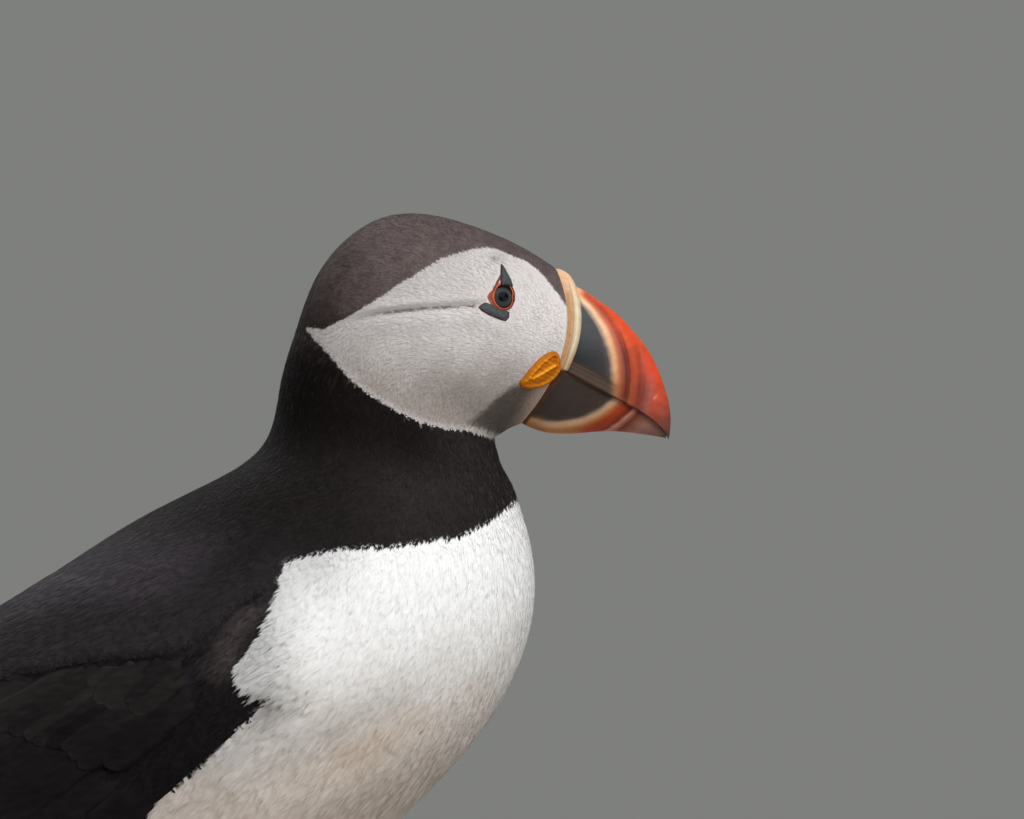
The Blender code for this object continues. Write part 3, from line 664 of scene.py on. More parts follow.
def finish(name, amount, colour=None, scale=900.0, stretch=(1.0, 1.0, 1.0), roughness=0.6,
           sheen=0.0, bump=0.0, bump_size=0.0001, cells=None, specular=0.5):
    """A material: the piece's own tint or one colour, broken up by speckle and, if asked, by cells
    of a scale and depth, with the same speckle or cells as a fine relief."""
    made = bpy.data.materials.new(name)
    made.use_nodes = True
    nodes, link = made.node_tree.nodes, made.node_tree.links.new
    shader = nodes["Principled BSDF"]
    shader.inputs["Roughness"].default_value = roughness
    shader.inputs["Sheen Weight"].default_value = sheen
    shader.inputs["Specular IOR Level"].default_value = specular
    speckle = nodes.new("ShaderNodeGroup")
    speckle.node_tree = SPECKLE
    speckle.inputs["Scale"].default_value = scale
    speckle.inputs["Amount"].default_value = amount
    speckle.inputs["Stretch"].default_value = stretch
    if colour is None:
        tint = add_node(nodes, "Attribute", {}, attribute_name="tint")
        link(tint.outputs["Color"], speckle.inputs["Color"])
    else:
        speckle.inputs["Color"].default_value = (*colour, 1.0)
    source = speckle
    if cells:
        source = nodes.new("ShaderNodeGroup")
        source.node_tree = CELLS
        source.inputs["Scale"].default_value, source.inputs["Depth"].default_value = cells
        link(speckle.outputs["Color"], source.inputs["Color"])
    link(source.outputs["Color"], shader.inputs["Base Color"])
    if bump:
        relief = add_node(nodes, "Bump", {"Strength": bump, "Distance": bump_size})
        link(source.outputs["Height"], relief.inputs["Height"])
        link(relief.outputs["Normal"], shader.inputs["Normal"])
    return made


DOWN = finish("white_down", roughness=0.9, sheen=0.1, amount=0.03, scale=700.0, specular=0.1)
VELVET = finish("black_velvet", roughness=0.8, amount=0.2, scale=500.0, specular=0.08)
FLIGHT = finish("flight_feather", roughness=0.75, amount=0.25, scale=260.0, stretch=(1.0, 1.0, 3.0),
                bump=0.25, bump_size=0.00015, specular=0.05)
HORN = finish("bill_horn", roughness=0.5, specular=0.17, amount=0.10, scale=420.0,
              stretch=(1.0, 0.4, 1.6), bump=0.25, bump_size=0.00012)
CERE_SKIN = finish("cere_skin", roughness=0.65, specular=0.2, amount=0.10, scale=600.0,
                   cells=(1900.0, 0.12), bump=0.5, bump_size=0.00012)
PAD_SKIN = finish("gape_pad_skin", roughness=0.55, amount=0.14, bump=0.4, bump_size=0.0002,
                  specular=0.12)
LID_SKIN = finish("lid_skin", specular=0.25, amount=0.2, scale=1600.0, bump=0.5)
PLATE_HORN = finish("eye_plate_horn", specular=0.25, amount=0.2, scale=1300.0, bump=0.4)
EYE_WET = finish("wet_eye", roughness=0.14, amount=0.0, specular=0.045)
LEG_SKIN = finish("leg_skin", roughness=0.5, amount=0.14, scale=300.0, cells=(1100.0, 0.3),
                  bump=0.6, bump_size=0.0003)
CLAW_HORN = finish("claw_horn", roughness=0.3, amount=0.3, scale=700.0, stretch=(0.3, 1.0, 1.0),
                   bump=0.2)


# ---------------------------------------------------------------- skin and coat

# Depth of the skin under the plumage's surface: section, depth.
SKIN_DEPTH = np.array(((0.0, 0.22), (4.0, 0.25), (8.0, 0.35), (12.0, 0.45), (17.0, 0.5)))
FLESH_NODES = ("head", "neck", "trunk", "rump", "thigh_left", "thigh_right")
# The skin's part of the map with the margin before it, and the size of a feather's patch on it.
MAP_SPAN, MAP_MARGIN = 0.98, 0.01
MAP_PATCH = 0.003
# Steps of the even sequence of two numbers, and the halvings that find one of a row's columns.
EVEN_STEPS = (0.7548776662, 0.5698402910)
HALVINGS = 10


def skin_depth(s):
    """How deep the skin lies under the plumage's surface: straight-line between its table's rows."""
    return np.interp(s, SKIN_DEPTH[:, 0], SKIN_DEPTH[:, 1])


def on_map(s, angle):
    """The skin's map: the angle across it and the section up it, inside a narrow margin."""
    return np.stack([angle / TAU, s / LAST], axis=-1) * MAP_SPAN + MAP_MARGIN


def make_skin():
    """The one closed skin: the plumage surface drawn in by the coat's depth, ends ruled shut. On the
    map, the faces beside the seam run on past its edge."""
    rows, columns = 240, 168
    s, angle = np.meshgrid(np.linspace(0.0, LAST, rows), np.arange(columns) * TAU / columns,
                           indexing="ij")
    points, _ = surface(s, angle, -skin_depth(s))
    tint, _, _ = markings(points, s, angle)
    half = np.arange(1, columns // 2 - 1)
    cap = np.stack([half, half + 1, columns - half - 1, columns - half], axis=-1)
    last = (rows - 1) * columns
    quads = np.concatenate([grid_quads(rows, columns, wrap=True), cap[:, ::-1], cap + last])
    ends = np.array([(0, 1, columns - 1), (columns // 2, columns // 2 + 1, columns // 2 - 1)])
    triangles = np.concatenate([ends[:, ::-1], ends + last])
    corners = np.concatenate([quads.ravel(), triangles.ravel()])
    uv = on_map(s, angle).reshape(-1, 2)[corners]
    u = uv[:quads.size, 0]
    beside_seam = np.repeat(u.reshape(-1, 4).max(axis=1) > 0.9, 4)
    u += np.where(beside_seam & (u < 0.1), MAP_SPAN, 0.0)
    put_mesh("skin", points.reshape(-1, 3), quads, DOWN, tint.reshape(-1, 3) * 0.9,
             triangles=triangles, uv=uv, replaces=FLESH_NODES)


def scatter(count, weight, seed):
    """Even scatter of places over the body: a row and a column are where the running sums of area
    times weight reach the two numbers of an even sequence. The column is found by halving."""
    along, around = np.diff(POINTS, axis=0)[:, :-1], np.diff(POINTS, axis=1)[:-1]
    mass = np.linalg.norm(np.cross(along, around), axis=-1) * weight[:-1, :-1]
    rows = mass.sum(axis=1)
    row_sum = np.concatenate([[0.0], np.cumsum(rows)]) / rows.sum()
    n = np.arange(count)
    noise = np.random.default_rng(seed)
    u, v = (np.mod(0.5 + n * step + noise.uniform(-0.4, 0.4, count) / math.sqrt(count), 1.0)
            for step in EVEN_STEPS)
    place = np.interp(u, row_sum, np.arange(S_STEPS))
    i = np.clip(place.astype(int), 0, S_STEPS - 2)
    share = np.cumsum(mass, axis=1) / np.maximum(rows[:, None], 1e-12)
    low, high = np.zeros(count, int), np.full(count, A_STEPS - 2)
    for _ in range(HALVINGS):
        middle = (low + high) // 2
        beyond = share[i, middle] < v
        low, high = np.where(beyond, middle + 1, low), np.where(beyond, high, middle)
        low = np.minimum(low, high)
    column = low + noise.uniform(0.0, 1.0, count)
    return place / (S_STEPS - 1) * LAST, column / (A_STEPS - 1) * TAU, noise


# A tuft's strips: shares of the length where each has points, its width there as a share of the strip
# width, sideways sway of a tuft, and how much the outer strips of the fan are shorter.
TUFT_LEVELS = np.array((0.0, 0.6, 1.0))
TUFT_WIDTHS = np.array((0.8, 1.0))
TUFT_SWAY, TUFT_FAN = 0.10, 0.3


def make_tufts(name, s, angle, noise, length, width, strips, strip_width, root_lift, tip_lift, finish,
               shade_root, shade_tip, vary, fleck):
    """Feather tufts laid along the body. Each is a fan of tapering strips; a strip's line is the curve
    through the surface points at the root, half-way and the tip, lifted from root to tip, and
    moved sideways by its place in the fan times a spread that grows toward the tip."""
    count = len(s)
    length = length * (1.0 + 0.16 * noise.standard_normal(count).clip(-2, 2))
    width = width * (1.0 + 0.15 * noise.standard_normal(count).clip(-2, 2))
    swing = TUFT_SWAY * noise.standard_normal(count).clip(-2.2, 2.2)
    root, root_normal = surface(s, angle, root_lift)
    place = surface(s, angle)[0]
    here, spot, out, knots = place, (s, angle), root_normal, [root]
    rise = tip_lift + 0.05 * noise.standard_normal(count).clip(-2, 2)
    for lift in (root_lift * 0.3 + rise * 0.7, rise):
        way = lie(here, out, *spot)
        side = np.cross(out, way)
        way = way * np.cos(swing)[:, None] + side * np.sin(swing)[:, None]
        target = here + way * length[:, None] / 2.0
        spot = settle(target, *spot)
        here, out = surface(*spot)
        here = np.where((spot[0] >= LAST - 1e-6)[:, None], target, here)
        knots.append(here + out * lift[:, None])
    tone, _, _ = markings(place, s, angle)
    fans = np.linspace(-1.0, 1.0, strips) + noise.uniform(-0.25, 0.25, (count, strips))
    reach = 1.0 - TUFT_FAN * fans ** 2 + noise.uniform(-0.12, 0.06, (count, strips))
    u = TUFT_LEVELS * reach[..., None]
    weights = (2.0 * (u - 0.5) * (u - 1.0), 4.0 * u * (1.0 - u), 2.0 * u * (u - 0.5))
    line = sum(w[..., None] * p[:, None, None, :] for w, p in zip(weights, knots))
    normal = unit(mix(root_normal[:, None, None, :], out[:, None, None, :], u))
    across = unit(np.cross(normal, unit(knots[2] - root)[:, None, None, :]))
    spread = 0.5 * width[:, None, None] * fans[..., None] * (0.25 + 0.75 * u ** 0.75)
    line = line + across * spread[..., None]
    middle, half = line[:, :, :-1], across[:, :, :-1] * (0.5 * strip_width * TUFT_WIDTHS)[:, None]
    sides = np.stack([middle - half, middle + half], axis=3).reshape(count, strips, -1, 3)
    points = np.concatenate([sides, line[:, :, -1:]], axis=2).reshape(-1, 3)
    level = np.array((0, 0, 1, 1, 2))
    shade = normal[:, :, level] + across[:, :, level] * (0.08 * fans[..., None, None])
    shade = shade + 0.02 * noise.standard_normal((count, strips, 1, 3))
    share = TUFT_LEVELS[level]
    light = 1.0 + vary * noise.standard_normal((count, 1, 1))
    light = light + fleck * noise.standard_normal((count, strips, 1))
    light = np.maximum(light, 0.3) * (shade_root * (1.0 - share) + shade_tip * share)
    colour = toned(tone[:, None, None, :], light)
    aside = fans[..., None] * 0.4 + np.array((-1, 1, -1, 1, 0)) * 0.06
    patch = np.stack(np.broadcast_arrays(aside, share - 0.5), axis=-1) * MAP_PATCH
    uv = np.clip(on_map(s, np.mod(angle, TAU))[:, None, None, :] + patch, 0.0, 1.0)
    base = (np.arange(count * strips) * len(level))[:, None]
    put_mesh(name, points, base + np.array((0, 2, 3, 1)), finish, colour.reshape(-1, 3),
             triangles=base + np.array((2, 4, 3)), uv=uv.reshape(-1, 2),
             normals=unit(shade).reshape(-1, 3))


# Points round the lid ring, and rings from its opening to the feathers.
LID_STEPS, LID_ROWS = 96, 20


def bare_places(points):
    """True where feathers may grow, false on the eye with its lid and plates and on the gape pad: by
    distance inside their outlines."""
    x, z = points[..., 0], points[..., 2]
    bare = edge_distance(x, z, lid_outline(1.0)) < -0.1 + 0.35 * smooth_step(86.5, 88.0, x)
    for outline in (UPPER_PLATE, LOWER_PLATE, GAPE_PAD):
        bare |= edge_distance(x, z, outline) < -0.1
    return ~(bare & (np.abs(points[..., 1]) > HEAD_SIDE))


def lid_outline(share):
    """Points round the lid ring at a share of its width from the opening to the feathers."""
    turn = np.arange(LID_STEPS) * TAU / LID_STEPS
    inner = np.interp(np.degrees(turn), LID_RIM[:, 0], LID_RIM[:, 1])
    outer = np.interp(np.degrees(turn), LID_RIM[:, 0], LID_RIM[:, 2])
    radius = inner + (outer - inner) * share
    return np.stack([EYE[0] + radius * np.cos(turn), EYE[1] + radius * np.sin(turn)], axis=-1)


def tract(kind, s_grid, near_front, wing, open_skin, face, white):
    """Weight of one coat piece over the body: none outside the sections and the markings where it
    grows, one inside, and more beside the fold behind the eye."""
    if kind == "face":
        crease, _ = from_crease(POINTS[..., 0], POINTS[..., 2])
        return (face > 0.5) * open_skin * (s_grid > 0.0) * (1.0 + 3.0 * bell(crease, 0.8))
    if kind == "cap":
        return (face <= 0.5) * open_skin * (s_grid < 5.0)
    if kind == "collar":
        return (s_grid >= 5.0) * (s_grid < 9.8) * (white < 0.5) * (face <= 0.5) * ~wing
    if kind == "breast":
        return (white >= 0.5) * (s_grid < 11.0)
    if kind == "belly":
        return (white >= 0.5) * (s_grid >= 11.0) * (s_grid < 14.0)
    if kind == "vent":
        return (white >= 0.5) * (s_grid >= 14.0)
    if kind == "coverts":
        return wing * (white < 0.5) * near_front
    return (s_grid >= 9.8) * (white < 0.5) * ~wing


# Coat pieces: tufts, length, width, strips, strip width, height of the tips over the skin, tone at
# root and tip, spread of tone from tuft to tuft and from strip to strip.
COAT = {
    "face": (22000, 2.0, 0.55, 3, 0.19, 0.13, 0.99, 1.0, 0.012, 0.02),
    "cap": (22000, 2.0, 0.55, 3, 0.20, 0.15, 0.94, 1.05, 0.04, 0.10),
    "collar": (22000, 2.8, 0.7, 3, 0.23, 0.18, 0.95, 1.05, 0.035, 0.07),
    "breast": (13200, 6.0, 1.3, 5, 0.27, 0.15, 0.99, 1.0, 0.008, 0.014),
    "belly": (11000, 8.0, 2.0, 6, 0.32, 0.25, 0.98, 1.0, 0.015, 0.02),
    "vent": (6000, 9.0, 2.4, 6, 0.42, 0.40, 0.97, 1.0, 0.02, 0.025),
    "back": (13200, 5.5, 1.7, 5, 0.34, 0.26, 0.94, 1.05, 0.04, 0.06),
    "coverts": (12500, 3.8, 1.0, 4, 0.26, 0.30, 0.90, 1.15, 0.10, 0.14),
}
DARK_TRACTS = ("cap", "collar", "back", "coverts")
# Depth of the roots under the skin.
ROOT_DEPTH = 0.12


def shortened(kind, s, points):
    """Share of its full length that a tuft keeps: less at the bill, round the eye and beside the
    edges of the markings."""
    x, z = points[..., 0], points[..., 2]
    from_white = edge_distance(x, z, WHITE_FRONT)
    from_face = np.abs(edge_distance(x, z, FACE_PATCH))
    if kind in ("face", "cap"):
        eye = np.hypot(x - EYE[0], z - EYE[1])
        share = (0.5 + 0.5 * smooth_step(0.0, 1.4, s)) * (0.35 + 0.65 * smooth_step(3.2, 8.0, eye))
        return share * (0.34 + 0.66 * smooth_step(0.0, 3.2, from_face))
    if kind == "collar":
        return 0.55 + 0.45 * smooth_step(0.0, 4.5, np.minimum(np.abs(from_white), from_face))
    if kind in ("breast", "belly"):
        rim_share = 0.34 + 0.22 * smooth_step(130.0, 120.0, z)
        return rim_share + (1.0 - rim_share) * smooth_step(0.0, 5.0, -from_white)
    if kind == "back":
        return 0.20 + 0.80 * smooth_step(0.0, 7.0, above_scapulars(x, z))
    return 1.0


def make_coat():
    """Every tract of tufts over the skin. A place is kept where the share of its own marking is over
    0.85; tufts on the fold behind the eye are shorter and narrower."""
    s_grid, angle_grid = np.meshgrid(S_GRID, A_GRID, indexing="ij")
    _, face, white = markings(POINTS, s_grid, angle_grid)
    along, across = wing_share(s_grid, angle_grid)
    below = above_scapulars(POINTS[..., 0], POINTS[..., 2]) < 0.0
    wing = (along > 0.0) & (across > 0.0) & (across < 1.0) & below
    open_skin = bare_places(POINTS)
    near_front = edge_distance(POINTS[..., 0], POINTS[..., 2], WHITE_FRONT) < 19.0
    for seed, (kind, row) in enumerate(COAT.items()):
        count, length, width, strips, strip_width, rise, root, tip, vary, fleck = row
        dark = kind in DARK_TRACTS
        weight = tract(kind, s_grid, near_front, wing, open_skin, face, white)
        s, angle, noise = scatter(count, weight.astype(float), seed + 11)
        place = surface(s, angle)[0]
        _, face_here, white_here = markings(place, s, angle)
        own = 1.0 - white_here if dark else white_here
        if kind in ("face", "cap"):
            own = face_here if kind == "face" else 1.0 - face_here
        s, angle, place = (part[own > 0.85] for part in (s, angle, place))
        length = length * shortened(kind, s, place)
        depth = skin_depth(s)
        rise = rise - depth
        if kind == "breast":
            rise = rise + wrist_sweep(place)
        if kind == "face":
            crease, _ = from_crease(place[:, 0], place[:, 2])
            fold = bell(crease, 0.9)
            length, width = length * (1.0 - 0.45 * fold), width * (1.0 - 0.75 * fold)
        make_tufts("coat_" + kind, s, angle, noise, length, width, strips, strip_width,
                   -depth - ROOT_DEPTH, rise, VELVET if dark else DOWN,
                   root, tip, vary, fleck)


# ---------------------------------------------------------------- wings and tail

# The wing sheet's rows, columns and last place along; thickness of a feather; and the square of the
# share of its width that is left at its tip.
W_ROWS, W_COLUMNS, W_END = 241, 41, 1.5
VANE_WALL = 0.12
VANE_POINT = 0.0004


def wing_sheet():
    """Table of the folded wing's outer face: over the body while along is below 1, then on a
    narrowing blade that runs straight to the tip of the primaries."""
    along = np.linspace(0.0, W_END, W_ROWS)[:, None]
    across = np.linspace(0.0, 1.0, W_COLUMNS)[None, :]
    s = WING_EDGES[0, 0] + (WING_EDGES[-1, 0] - WING_EDGES[0, 0]) * np.minimum(along, 1.0)
    upper, lower = wing_edges(s)
    s, angle = np.broadcast_arrays(s, upper + (lower - upper) * across)
    points, _ = surface(s, angle, 0.1)
    start = points[np.argmax(along[:, 0] >= 1.0)]
    middle = start[W_COLUMNS // 2]
    t = np.clip((along - 1.0) / (W_END - 1.0), 0.0, 1.0)[..., None]
    blade = middle + (PRIMARY_TIP - middle) * t + (start[None] - middle) * (1.0 - 0.86 * t ** 1.5)
    points = np.where(t > 0.0, blade, points)
    return points, grid_normals(points, np.gradient(points, axis=1))


def read_sheet(table, along, across):
    """The wing table read between its rows and columns."""
    row = np.clip(along / W_END, 0.0, 0.9999) * (W_ROWS - 1)
    return between(table, row, np.clip(across, 0.0, 0.9999) * (W_COLUMNS - 1))


def make_vanes(name, sheet, feathers, tint, tip_tint, noise, side, steps=16, blades=9, taper=0.20,
               replaces=()):
    """Long feathers on the wing sheet. Each runs from root to tip over the sheet; its half-width
    rises quickly, stays even and closes in a round end; the cross profile is a low arch with a
    raised shaft, and each feather is lifted a little over the one before it."""
    points, normals = sheet
    root, tip, width, lift, droop = feathers
    count = len(root)
    width, lift, droop = (part[:, None, None] for part in (width, lift, droop))
    u = np.sin(np.linspace(0.0, math.pi / 2.0, steps))[:, None]
    v = np.linspace(-1.0, 1.0, blades)
    even = np.zeros((count, steps, blades))
    along, across = (root[:, k, None, None] + (tip - root)[:, k, None, None] * u + even for k in (0, 1))
    centre = read_sheet(points, along, across)
    normal = unit(read_sheet(normals, along, across))
    ahead = unit(np.gradient(centre, axis=1))
    sideways = unit(np.cross(normal, ahead))
    closing = np.maximum((u - 1.0 + taper) / taper, 0.0)
    shape = np.minimum(1.0, (u / 0.10) ** 0.5 + 0.25) * np.sqrt(np.maximum(1.0 - closing ** 2, VANE_POINT))
    half = 0.5 * width * shape
    ragged = 1.0 + 0.05 * noise.standard_normal((count, steps, 1)) * np.abs(v) ** 2
    above = above_scapulars(centre[..., 0], centre[..., 2])
    height = lift + droop * u - 0.10 * half * v ** 2 + 0.07 * bell(v, 0.18) * (1.0 - u)
    height = height - 0.8 * smooth_step(0.35, 0.0, u) - 2.4 * smooth_step(-1.2, -0.2, above)
    place = centre + sideways * (half * v * ragged)[..., None] + normal * height[..., None]
    fringe = np.clip(np.abs(v) ** 3 * 0.7 + smooth_step(0.82, 1.0, u) * 0.8, 0.0, 1.0)
    tone = 1.0 + 0.16 * noise.standard_normal((count, 1, 1))
    tone = tone + 0.06 * noise.standard_normal((count, steps, blades))
    barbs = 1.0 + 0.10 * np.sin(30.0 * u + 7.0 * np.abs(v) + 2.4 * np.arange(count)[:, None, None])
    # The barbs' fine banding times a painted sheen that lightens the feathers just under the scapulars.
    barbs_and_sheen = barbs * (1.0 + 0.7 * bell(above + 5.0, 6.0))
    colour = toned(mix(tint, tip_tint, fringe), tone * barbs_and_sheen)
    quads = repeated(grid_quads(steps, blades)[:, ::-1], count, steps * blades)
    flat, quads = mirrored(place.reshape(-1, 3), side, quads)
    map_start = 0.02 if side > 0 else 0.52
    root_uv = np.stack([root[:, 1] * 0.45 + map_start, root[:, 0] / W_END * 0.96 + 0.02], axis=-1)
    patch = np.stack(np.broadcast_arrays(v * 0.5, u - 0.5), axis=-1) * MAP_PATCH
    uv = np.clip(root_uv[:, None, None, :] + patch, 0.0, 1.0)
    put_mesh(name, flat, quads, FLIGHT, colour.reshape(-1, 3), uv=uv.reshape(-1, 2),
             replaces=replaces, wall=VANE_WALL)


def vane_rows(rows, noise):
    """Roots, tips, widths, lifts and droops of rows of wing feathers, one list entry a row. A row
    says its place along the wing, its feathers' reach, the first and last place across the wing,
    how many feathers, their width, lift and droop."""
    roots, tips, widths, lifts, droops = [], [], [], [], []
    for along, reach, low, high, count, width, lift, droop in rows:
        across = np.linspace(low, high, count)
        start = along + noise.uniform(-0.012, 0.012, count) + 0.05 * (across - 0.5)
        roots.append(np.stack([start, across], axis=-1))
        tips.append(np.stack([start + reach, across + noise.uniform(-0.02, 0.02, count)], axis=-1))
        widths.append(np.full(count, width) * (1.0 + 0.08 * noise.standard_normal(count)))
        lifts.append(np.full(count, lift) + 0.012 * np.arange(count)[::-1])
        droops.append(np.full(count, droop))
    return [np.concatenate(part) for part in (roots, tips, widths, lifts, droops)]


PRIMARY_ROWS = [(0.62 + 0.05 * i, 0.86 - 0.05 * i, 0.30 + 0.085 * i, 0.31 + 0.085 * i, 1,
                 9.0 - 0.5 * i, 0.15 + 0.1 * i, -0.15) for i in range(7)]
SECONDARY_ROWS = [(0.50, 0.42, 0.25, 0.95, 12, 10.0, 0.35, 0.15)]
COVERT_ROWS = [(0.40, 0.26, 0.10, 0.98, 17, 7.5, 0.30, 0.30), (0.32, 0.19, 0.05, 0.98, 20, 6.5, 0.30, 0.30)]
COVERT_ROWS += [(0.27 - 0.036 * i, 0.12 - 0.006 * i, 0.02, 0.98, 22 - i, 6.4 - 0.25 * i, 0.25, 0.25)
                for i in range(8)]


def make_wings():
    """Primaries, secondaries and rows of coverts of both folded wings. Each row's tips lie over the
    roots of the row behind; coverts under the scapulars or beside the white are left out."""
    sheet = wing_sheet()
    ink = np.array(INK["wing"])
    for name, side in (("left", 1.0), ("right", -1.0)):
        noise = np.random.default_rng(40)
        feathers = vane_rows(PRIMARY_ROWS, noise)
        tip = feathers[1]
        tip[:, 1] = np.linspace(0.62, 0.40, len(tip))
        tip[:, 0] = np.linspace(1.46, 1.20, len(tip))
        make_vanes("primaries_%s_feathers" % name, sheet, feathers, ink * 1.1, ink * 1.54, noise, side,
                   steps=20, taper=0.5, replaces=("primaries_" + name,))
        feathers = vane_rows(SECONDARY_ROWS, noise)
        tip = feathers[1]
        tip[:, 1] = 0.5 + (tip[:, 1] - 0.5) * 0.9
        make_vanes("secondaries_%s_feathers" % name, sheet, feathers, ink * 1.05, ink * 1.365, noise, side,
                   replaces=("wing_" + name,))
        feathers = vane_rows(COVERT_ROWS, noise)
        root, tip = feathers[:2]
        open_wing = np.ones(len(root), bool)
        for share in (0.2, 0.95):
            place = read_sheet(sheet[0], root[:, 0] * (1.0 - share) + tip[:, 0] * share, root[:, 1])
            x, z = place[:, 0], place[:, 2]
            open_wing &= (above_scapulars(x, z) < -0.6) & (edge_distance(x, z, WHITE_FRONT) > 13.0)
        feathers = [part[open_wing] for part in feathers]
        make_vanes("coverts_%s_feathers" % name, sheet, feathers, ink * 1.1, ink * 1.7, noise, side,
                   steps=12, blades=7)


# The flat fan of the tail: its middle feather's root and tip and how that one slopes; and the points
# across a blade.
TAIL_START = np.array((-92.0, 0.0, 64.0))
TAIL_END = np.array((-121.4, 0.0, 54.4))
TAIL_SLOPE = 0.3265
BLADE_COLUMNS = 9


def put_blades(name, place, path, u, half, up, noise, ink, finish, replaces=()):
    """Blades along the paths of a fan: each one's middle line is the path at its own place, and it
    spreads to both sides along the way the paths move from one place to the next, thinner at the
    edges and raised a little along its shaft. The path is a function of place and length share; up
    is 1 for blades that face up and -1 for blades that face down."""
    v = np.linspace(-1.0, 1.0, BLADE_COLUMNS)[:, None]
    middle = path(place, u)[:, :, None, :]
    across = unit(path(place + 0.02, u) - path(place - 0.02, u))[:, :, None, :]
    normal = unit(np.cross(across, unit(np.gradient(middle, axis=1)))) * up
    half = np.broadcast_to(half, middle.shape[:2])[..., None, None]
    points = middle + across * half * v + normal * (0.12 * bell(v, 0.2) - 0.10 * half * v ** 2)
    count, steps = points.shape[:2]
    quads = repeated(grid_quads(steps, BLADE_COLUMNS)[:, ::up], count, steps * BLADE_COLUMNS)
    tone = 1.0 + 0.12 * noise.standard_normal((count, 1, 1, 1)) + 0.25 * np.abs(v) ** 4
    if finish is DOWN:
        tone = np.minimum(tone, 1.0)
    tint = np.broadcast_to(ink * tone, points.shape)
    across_map = 0.5 + place[..., None] * 0.45 + v[:, 0] * MAP_PATCH / 2.0
    along_map = 0.5 + (u[..., None] - 0.5) * MAP_PATCH
    uv = np.stack(np.broadcast_arrays(across_map, along_map), axis=-1)
    put_mesh(name, points.reshape(-1, 3), quads, finish, tint.reshape(-1, 3),
             uv=uv.reshape(-1, 2), replaces=replaces, wall=VANE_WALL)


def tail_fan(place, u):
    """A straight line from root to tip, shorter and lower toward the sides of the fan."""
    reach = u * (1.0 - 0.16 * place ** 2) * (1.0 + 0.010 * np.sin(37.0 * place))
    line = TAIL_START + (TAIL_END - TAIL_START) * reach[..., None]
    aside, rise = place * (8.0 + 8.5 * u), 0.7 * (1.0 - np.abs(place))
    return line + np.stack(np.broadcast_arrays(0.0, aside, rise), axis=-1)


def tail_coverts(turn, width, tail_x, lift):
    """Curves through a place on the rump, one on its end and one over the flat fan."""
    def path(place, u):
        """The curve of the second degree through those three places, the middle one reached at the
        bend's share of the length."""
        angle = turn + place * width
        first = surface(np.full(angle.shape, 16.3), angle, -0.6)[0]
        second = surface(np.full(angle.shape, LAST), angle, 0.35)[0]
        x = tail_x + 6.0 * place ** 2 + 0.5 * np.sin(31.0 * place)
        z = TAIL_START[2] + (x - TAIL_START[0]) * TAIL_SLOPE + lift * (1.0 - 0.5 * np.abs(place))
        third = np.stack([x, 10.0 * place, z], axis=-1)
        bend = 0.42
        shares = ((u - bend) * (u - 1.0) / bend, u * (1.0 - u) / (bend * (1.0 - bend)),
                  u * (u - bend) / (1.0 - bend))
        return sum(w[..., None] * p for w, p in zip(shares, (first, second, third)))
    return path


def make_tail():
    """Tail feathers side by side in a flat fan, each overlapping the next toward the middle, and the
    coverts over and under their roots, which run from the rump's round end down to the flat fan."""
    noise = np.random.default_rng(50)
    u = np.sin(np.linspace(0.0, math.pi / 2.0, 24))[None, :]
    round_end = np.sqrt(np.maximum(1.0 - np.maximum((u - 0.85) / 0.15, 0.0) ** 2, VANE_POINT))
    shape = np.minimum(1.0, u * 3.0 + 0.4) * round_end
    wing, white = np.array(INK["wing"]), np.array(INK["white"])
    place = np.linspace(-1.0, 1.0, 12)[:, None]
    put_blades("tail_feathers", place, tail_fan, u, 4.3 * shape, 1, noise, wing * 0.8, FLIGHT,
               ("tail",))
    place = np.linspace(-1.0, 1.0, 17)[:, None]
    put_blades("tail_coverts_upper", place, tail_coverts(0.0, 1.25, -110.0, 1.5), u, 2.6 * shape, 1,
               noise, wing * 1.2, FLIGHT)
    put_blades("tail_coverts_lower", place, tail_coverts(math.pi, -1.25, -107.0, -1.0), u, 2.6 * shape,
               -1, noise, white * (0.80, 0.77, 0.74), DOWN)


# ---------------------------------------------------------------- bill

# Stations: upper point x, z, lower point x, z, half-width, forward bow of the side. The first of
# each list lies inside the head, so that the feathers grow over the edge of the horn.
CERE = np.array((
    (95.2, 191.0, 96.0, 170.6, 7.2, 2.2), (97.6, 191.5, 98.0, 169.9, 8.35, 2.3),
    (99.4, 191.1, 98.9, 169.9, 8.85, 2.2), (101.0, 189.7, 99.6, 169.9, 8.95, 2.1),
    (102.1, 187.6, 100.2, 169.8, 7.9, 1.9)))
UPPER_BILL = np.array((
    (98.0, 188.5, 96.5, 171.0, 6.4, 1.5), (102.3, 187.6, 100.5, 169.2, 7.7, 1.9),
    (106.2, 185.1, 104.4, 167.1, 7.4, 2.8), (110.5, 182.1, 109.1, 164.6, 6.6, 3.0),
    (114.1, 178.3, 113.1, 162.5, 5.7, 2.8), (117.3, 174.2, 116.3, 160.7, 4.7, 2.2),
    (119.6, 169.6, 118.8, 158.9, 3.7, 1.5), (121.3, 164.5, 120.5, 157.3, 2.7, 0.9),
    (122.0, 159.8, 121.2, 156.3, 1.7, 0.4), (121.9, 156.2, 121.6, 155.2, 0.8, 0.0)))
LOWER_BILL = np.array((
    (94.0, 172.3, 86.4, 161.7, 5.6, 0.3), (98.0, 170.6, 90.1, 158.9, 7.4, 0.6),
    (101.8, 168.8, 95.8, 156.7, 7.0, 1.2), (106.4, 166.4, 103.0, 156.6, 6.2, 1.4),
    (110.9, 164.0, 108.8, 157.0, 5.1, 1.2), (115.1, 161.7, 114.1, 156.6, 3.7, 0.8),
    (118.8, 159.1, 118.4, 156.0, 2.1, 0.3), (121.4, 156.6, 121.1, 155.5, 0.9, 0.0)))
# The upper bill's grooves follow arcs of one radius about one height, the lower bill's follow rings
# about one centre.
ARC_RADIUS, ARC_HEIGHT = 22.3, 168.7
RING_RADIUS, RING_CENTRE = 17.0, (97.75, 175.95)
BILL_EDGE = (0.030, 0.016, 0.010)
